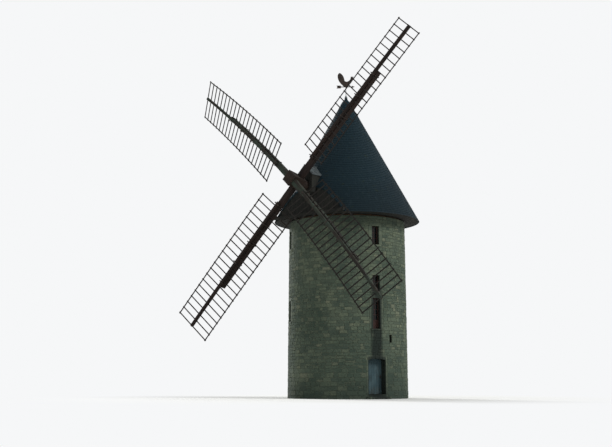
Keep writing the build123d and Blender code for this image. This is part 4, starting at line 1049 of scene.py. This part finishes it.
def dormer_rolls():
    """Lead rolls over the joints of the sheets, down both slopes and along the ridge."""
    rolls = Blocks()
    pitch = DORMER_RISE / DORMER_HALF
    thickness = DORMER_SHEET * hypot(1, pitch)
    ridge = DORMER_EAVE + DORMER_RISE + thickness
    reach = (DORMER_HALF + DORMER_OVERHANG) * hypot(1, pitch)
    for side in (-1, 1):
        down = Vector((side, 0, -pitch)).normalized()
        out = Vector((side * pitch, 0, 1)).normalized()
        for y in ROLL_PLACES:
            middle = Vector((0, y, ridge)) + down * (reach / 2) + out * ROLL_RISE
            rolls.box(middle, down, BACK, out, (reach, *ROLL_SIZE))
    rolls.box(Vector((0, RIDGE_MIDDLE, ridge)), BACK, RIGHT, UP, RIDGE_ROLL_SIZE)
    settle(rolls.piece("dormer_lead_rolls", LEAD, ROLL_EDGE), "cap")


dormer_boards()
dormer_rolls()

# Ironwork of the sails: clamps that hold the whips to the stocks, and bands on the
# shaft's head, with oak wedges where the stocks pass through it

CLAMP_DISTANCES = (1.62, 2.95, 4.30, 5.65, 7.05)
PLATE_EDGE, BOLT_EDGE, WEDGE_EDGE = 0.002, 0.003, 0.003
PLATE = 0.008
PLATE_WIDTH = 0.06
PLATE_MARGIN = 0.03
BOLT = 0.022
BOLT_SIDE = 0.014
BOLT_END = 0.03
NUT_SIZE = (0.04, 0.04, 0.022)
NUT_RISE = 0.02
BAND_PLACES = (-0.47, 0.43)
BAND_RISE = 0.004
BAND_SIZE = (0.010, HEAD_WIDTH + 0.016, 0.06)
WEDGE_PLACE = (0.05, 0.05, 0.012)
WEDGE_SIZE = (0.12, 0.022, 0.10)


def whip_clamps():
    plates = Blocks()
    bolts = Blocks()
    front = STOCK_DEPTH / 2 + WHIP_DEPTH
    back = -STOCK_DEPTH / 2
    for angle, offset, droop in ARMS:
        along, side, ahead = sail_frame(angle)
        for distance in CLAMP_DISTANCES:
            share = (distance - HEAD_WIDTH / 2) / (STOCK_HALF_LENGTH - HEAD_WIDTH / 2)
            half = (STOCK_ROOT_WIDTH + (STOCK_END_WIDTH - STOCK_ROOT_WIDTH) * share) / 2
            sag = droop * (distance / SAIL_RADIUS) ** 2
            centre = HUB + along * distance - side * sag + ahead * offset
            size = (PLATE_WIDTH, 2 * (half + PLATE_MARGIN), PLATE)
            for forward in (front + PLATE / 2, back - PLATE / 2):
                plates.box(centre + ahead * forward, along, side, ahead, size)
            for edge in (-1, 1):
                rod = centre + side * (edge * (half + BOLT_SIDE))
                middle = rod + ahead * ((front + back) / 2)
                bolts.box(middle, along, side, ahead, (BOLT, BOLT, front - back + 2 * BOLT_END))
                for forward in (front + NUT_RISE, back - NUT_RISE):
                    bolts.box(rod + ahead * forward, along, side, ahead, NUT_SIZE)
    settle(plates.piece("whip_clamp_plates", IRON, PLATE_EDGE), "sails")
    settle(bolts.piece("whip_clamp_bolts", IRON, BOLT_EDGE), "sails")


def head_fittings():
    bands = Blocks()
    along, side, ahead = sail_frame(REAR_ANGLE)
    for forward in BAND_PLACES:
        for direction, other in ((along, side), (side, along)):
            for edge in (-1, 1):
                middle = HUB + ahead * forward + direction * (edge * (HEAD_WIDTH / 2 + BAND_RISE))
                bands.box(middle, direction, other, ahead, BAND_SIZE)
    settle(bands.piece("head_bands", IRON, BOLT_EDGE), "sails")
    wedges = Blocks()
    beyond, apart, aside = WEDGE_PLACE
    for angle, offset in ((FRONT_ANGLE, FRONT_OFFSET), (REAR_ANGLE, REAR_OFFSET)):
        along, side, ahead = sail_frame(angle)
        for end in (-1, 1):
            for edge in (-1, 1):
                middle = HUB + along * (end * (HEAD_WIDTH / 2 + beyond)) + ahead * (offset + apart * edge)
                middle += side * (edge * (STOCK_ROOT_WIDTH / 2 + aside))
                wedges.box(middle, along, side, ahead, WEDGE_SIZE)
    settle(wedges.piece("stock_wedges", SHAFT_OAK, WEDGE_EDGE), "sails")


whip_clamps()
head_fittings()

# Door leaf in upright planks on ledges, with clenched nails

PLANKS = 6
PLANK_GAP = 0.005
PLANK_EDGE = 0.005
FOOT_WEAR = 0.006
LEDGE_LEVELS = (0.375, 1.1875, 2.0)
LEDGE_SIZE = (0.82, 0.030, 0.12)
NAIL_OFFSETS = (0.038, 0.025)
NAIL_SIZE = (0.009, 0.009, 0.007)
NAIL_HEAD = (0.45, 0.5)
NAIL_MARGIN = 0.03
NAIL_TWIST, NAIL_SEED = 0.5, 5


def door_planks():
    planks = Blocks()
    for left, right in row(-LEAF_HALF, LEAF_HALF, PLANKS, PLANK_GAP):
        foot = LEAF_BASE + rng.uniform(0.0, FOOT_WEAR)
        plan = oblong(left, right, LEAF_BACK, LEAF_FRONT)
        planks.post(ENTRANCE, plan, foot, LEAF_BASE + LEAF_HEIGHT)
    for level in LEDGE_LEVELS:
        middle = beside(ENTRANCE, 0, level, LEAF_BACK - LEDGE_SIZE[1] / 2)
        planks.box(middle, across(ENTRANCE), outward(ENTRANCE), UP, LEDGE_SIZE)
    made = planks.piece("door_planks", BLUE_PAINT, PLANK_EDGE)
    settle(made, "door")
    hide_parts("door_leaf")


def door_nails():
    head = Blocks()
    square = oblong(-1, 1, -1, 1)
    top, rise = NAIL_HEAD
    low = [Vector((x, y, 0)) for x, y in square]
    head.prism(low, [Vector((x * top, y * top, rise)) for x, y in square], PATTERN_TINT)
    shape = head.piece("nail_pattern", IRON)
    aside, above = NAIL_OFFSETS
    places = []
    for left, right in row(-LEAF_HALF, LEAF_HALF, PLANKS, 0):
        for level in LEDGE_LEVELS:
            for side in (-1, 1):
                sideways = (left + right) / 2 + side * aside
                if abs(sideways) < DOOR_HALF - NAIL_MARGIN:
                    point = beside(ENTRANCE, sideways, level + side * above, LEAF_FRONT)
                    places.append((point, across(ENTRANCE), UP, outward(ENTRANCE), NAIL_SIZE))
    lay_copies("door_nails", shape, places, IRON, NAIL_TWIST, NAIL_SEED, "door")


door_planks()
door_nails()

# Glazing bars of the windows, and the boards below the transom of the tallest one

BAR = 0.024
BAR_DEPTHS = (0.034, 0.036)
PANE_HEIGHT = 0.30
PANEL_BOARDS = 4
PANEL_THICKNESS = 0.016
PANEL_PROUD = 0.004
BAR_EDGE = 0.003


def window_joinery():
    bars = Blocks()
    inner = WINDOW_HALF - FRAME_WIDTH
    for azimuth, sill, height, transom in WINDOWS:
        middle = wall_radius(sill + height / 2) - WINDOW_REVEAL - FRAME_DEPTH / 2
        low = sill + FRAME_WIDTH if transom is None else transom + FRAME_WIDTH / 2
        high = sill + height - FRAME_WIDTH
        directions = (across(azimuth), outward(azimuth), UP)
        rows = max(2, round((high - low) / PANE_HEIGHT))
        for number in range(1, rows):
            point = beside(azimuth, 0, low + (high - low) * number / rows, middle)
            bars.box(point, *directions, (2 * inner, BAR_DEPTHS[0], BAR))
        upright = beside(azimuth, 0, (low + high) / 2, middle)
        bars.box(upright, *directions, (BAR, BAR_DEPTHS[1], high - low))
        if transom is not None:
            foot, head = sill + FRAME_WIDTH, transom - FRAME_WIDTH / 2
            for left, right in row(-inner, inner, PANEL_BOARDS, PLANK_GAP):
                point = beside(azimuth, (left + right) / 2, (foot + head) / 2, middle + PANEL_PROUD)
                bars.box(point, *directions, (right - left, PANEL_THICKNESS, head - foot))
    settle(bars.piece("window_bars_and_panel", RED_PAINT, BAR_EDGE), "tower")


window_joinery()

# Materials of the solids that stay in view

FINISHES = {
    MORTAR: [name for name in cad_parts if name.startswith("wall_")],
    DRESSED: ["ground_slab", "door_surround", "doorstep", "window_stones"],
    RED_PAINT: ["window_frames"],
    GLASS: ["window_panes"],
    IRON: ["door_pins", "door_ironwork", "weathervane"],
    ROOM_OAK: ["fixed_curb", "cap_ring", "breast_beam", "neck_bearing", "tail_beam", "timber_floors"],
    GREY_PINE: ["cap_front", "dormer"],
    SOFFIT_PINE: ["eave_soffit"],
    SLATE: ["roof_cone"],
    LEAD: ["dormer_roof", "finial"],
    SHAFT_OAK: ["windshaft"],
    FRONT_OAK: ["front_stock", "whip_lower_right", "whip_upper_left"],
    REAR_OAK: ["rear_stock", "whip_upper_right", "whip_lower_left"],
    FRONT_LARCH: ["lattice_lower_right", "lattice_upper_left"],
    REAR_LARCH: ["lattice_upper_right", "lattice_lower_left"],
}
for finish, names in FINISHES.items():
    for name in names:
        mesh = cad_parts[name].data
        mesh.materials.clear()
        mesh.materials.append(finish)

# Stage: pale floor that fades to white far off, soft lamps from both sides, even sky

CAMERA_PLACE = Vector((37.2, -43.2, 0.9))
AIM = Vector((-1.75, -1.50, 9.75))
LENS = 60.0
SENSOR_WIDTH = 36.0
FARTHEST_SEEN = 2000.0
FLOOR_REACH = 600.0
FADE_START, FADE_END = 6.0, 18.0
FLOOR_COLOUR, SKY_COLOUR = "#ebebe8", "#f6f7f8"
SKY_STRENGTH = 0.50
# Each lamp: direction it shines from, strength, softness in degrees
LAMPS = {
    "key_lamp": (Vector((42, 12, 30)), 1.9, 16),
    "rim_lamp": (Vector((-40, 10, 14)), 2.4, 12),
}


def stage_floor():
    corners = [(x * FLOOR_REACH, y * FLOOR_REACH, 0) for x, y in oblong(-1, 1, -1, 1)]
    floor = new_shape("floor", corners, [(0, 1, 2, 3)])
    matt = Surface("studio_floor_matt_pale", Roughness=0.9, Base_Color=linear(FLOOR_COLOUR))
    tree = matt.tree
    distance = add(tree, "VectorMath", {0: matt.place}, 1, operation="LENGTH")
    fading = {0: distance, 1: FADE_START, 2: FADE_END}
    far = add(tree, "MapRange", fading, interpolation_type="SMOOTHSTEP")
    seen = add(tree, "LightPath", out="Is Camera Ray")
    share = add(tree, "Math", {0: far, 1: seen}, operation="MULTIPLY")
    glow = add(tree, "Emission", {"Color": SKY_COLOUR, "Strength": 1.0})
    blend = add(tree, "MixShader", {0: share, 1: matt.shader.outputs[0], 2: glow})
    tree.links.new(blend, first_node(tree, "OUTPUT_MATERIAL").inputs["Surface"])
    floor.data.materials.append(matt.material)


def stage_sky():
    world = bpy.data.worlds.new("studio_sky")
    world.use_nodes = True
    tree = world.node_tree
    background = first_node(tree, "BACKGROUND").inputs
    rays = add(tree, "LightPath").node.outputs
    seen = rays["Is Camera Ray"]
    for ray in ("Is Glossy Ray", "Is Transmission Ray"):
        seen = add(tree, "Math", {0: seen, 1: rays[ray]}, operation="MAXIMUM")
    strength = add(tree, "MapRange", {0: seen, 3: SKY_STRENGTH, 4: 1.0})
    background["Color"].default_value = linear(SKY_COLOUR)
    tree.links.new(strength, background["Strength"])
    bpy.context.scene.world = world


def stage_lamps():
    for name, (direction, energy, softness) in LAMPS.items():
        lamp = bpy.data.lights.new(name, "SUN")
        lamp.energy = energy
        lamp.angle = radians(softness)
        put_in_scene(name, lamp).rotation_euler = direction.to_track_quat("Z", "Y").to_euler()


def stage_camera():
    camera = bpy.data.cameras.new("camera")
    camera.lens = LENS
    camera.sensor_width = SENSOR_WIDTH
    camera.clip_end = FARTHEST_SEEN
    holder = put_in_scene("camera", camera)
    holder.location = CAMERA_PLACE
    holder.rotation_euler = (AIM - CAMERA_PLACE).to_track_quat("-Z", "Y").to_euler()
    bpy.context.scene.camera = holder
    bpy.context.scene.view_settings.view_transform = "Standard"


stage_floor()
stage_sky()
stage_lamps()
stage_camera()
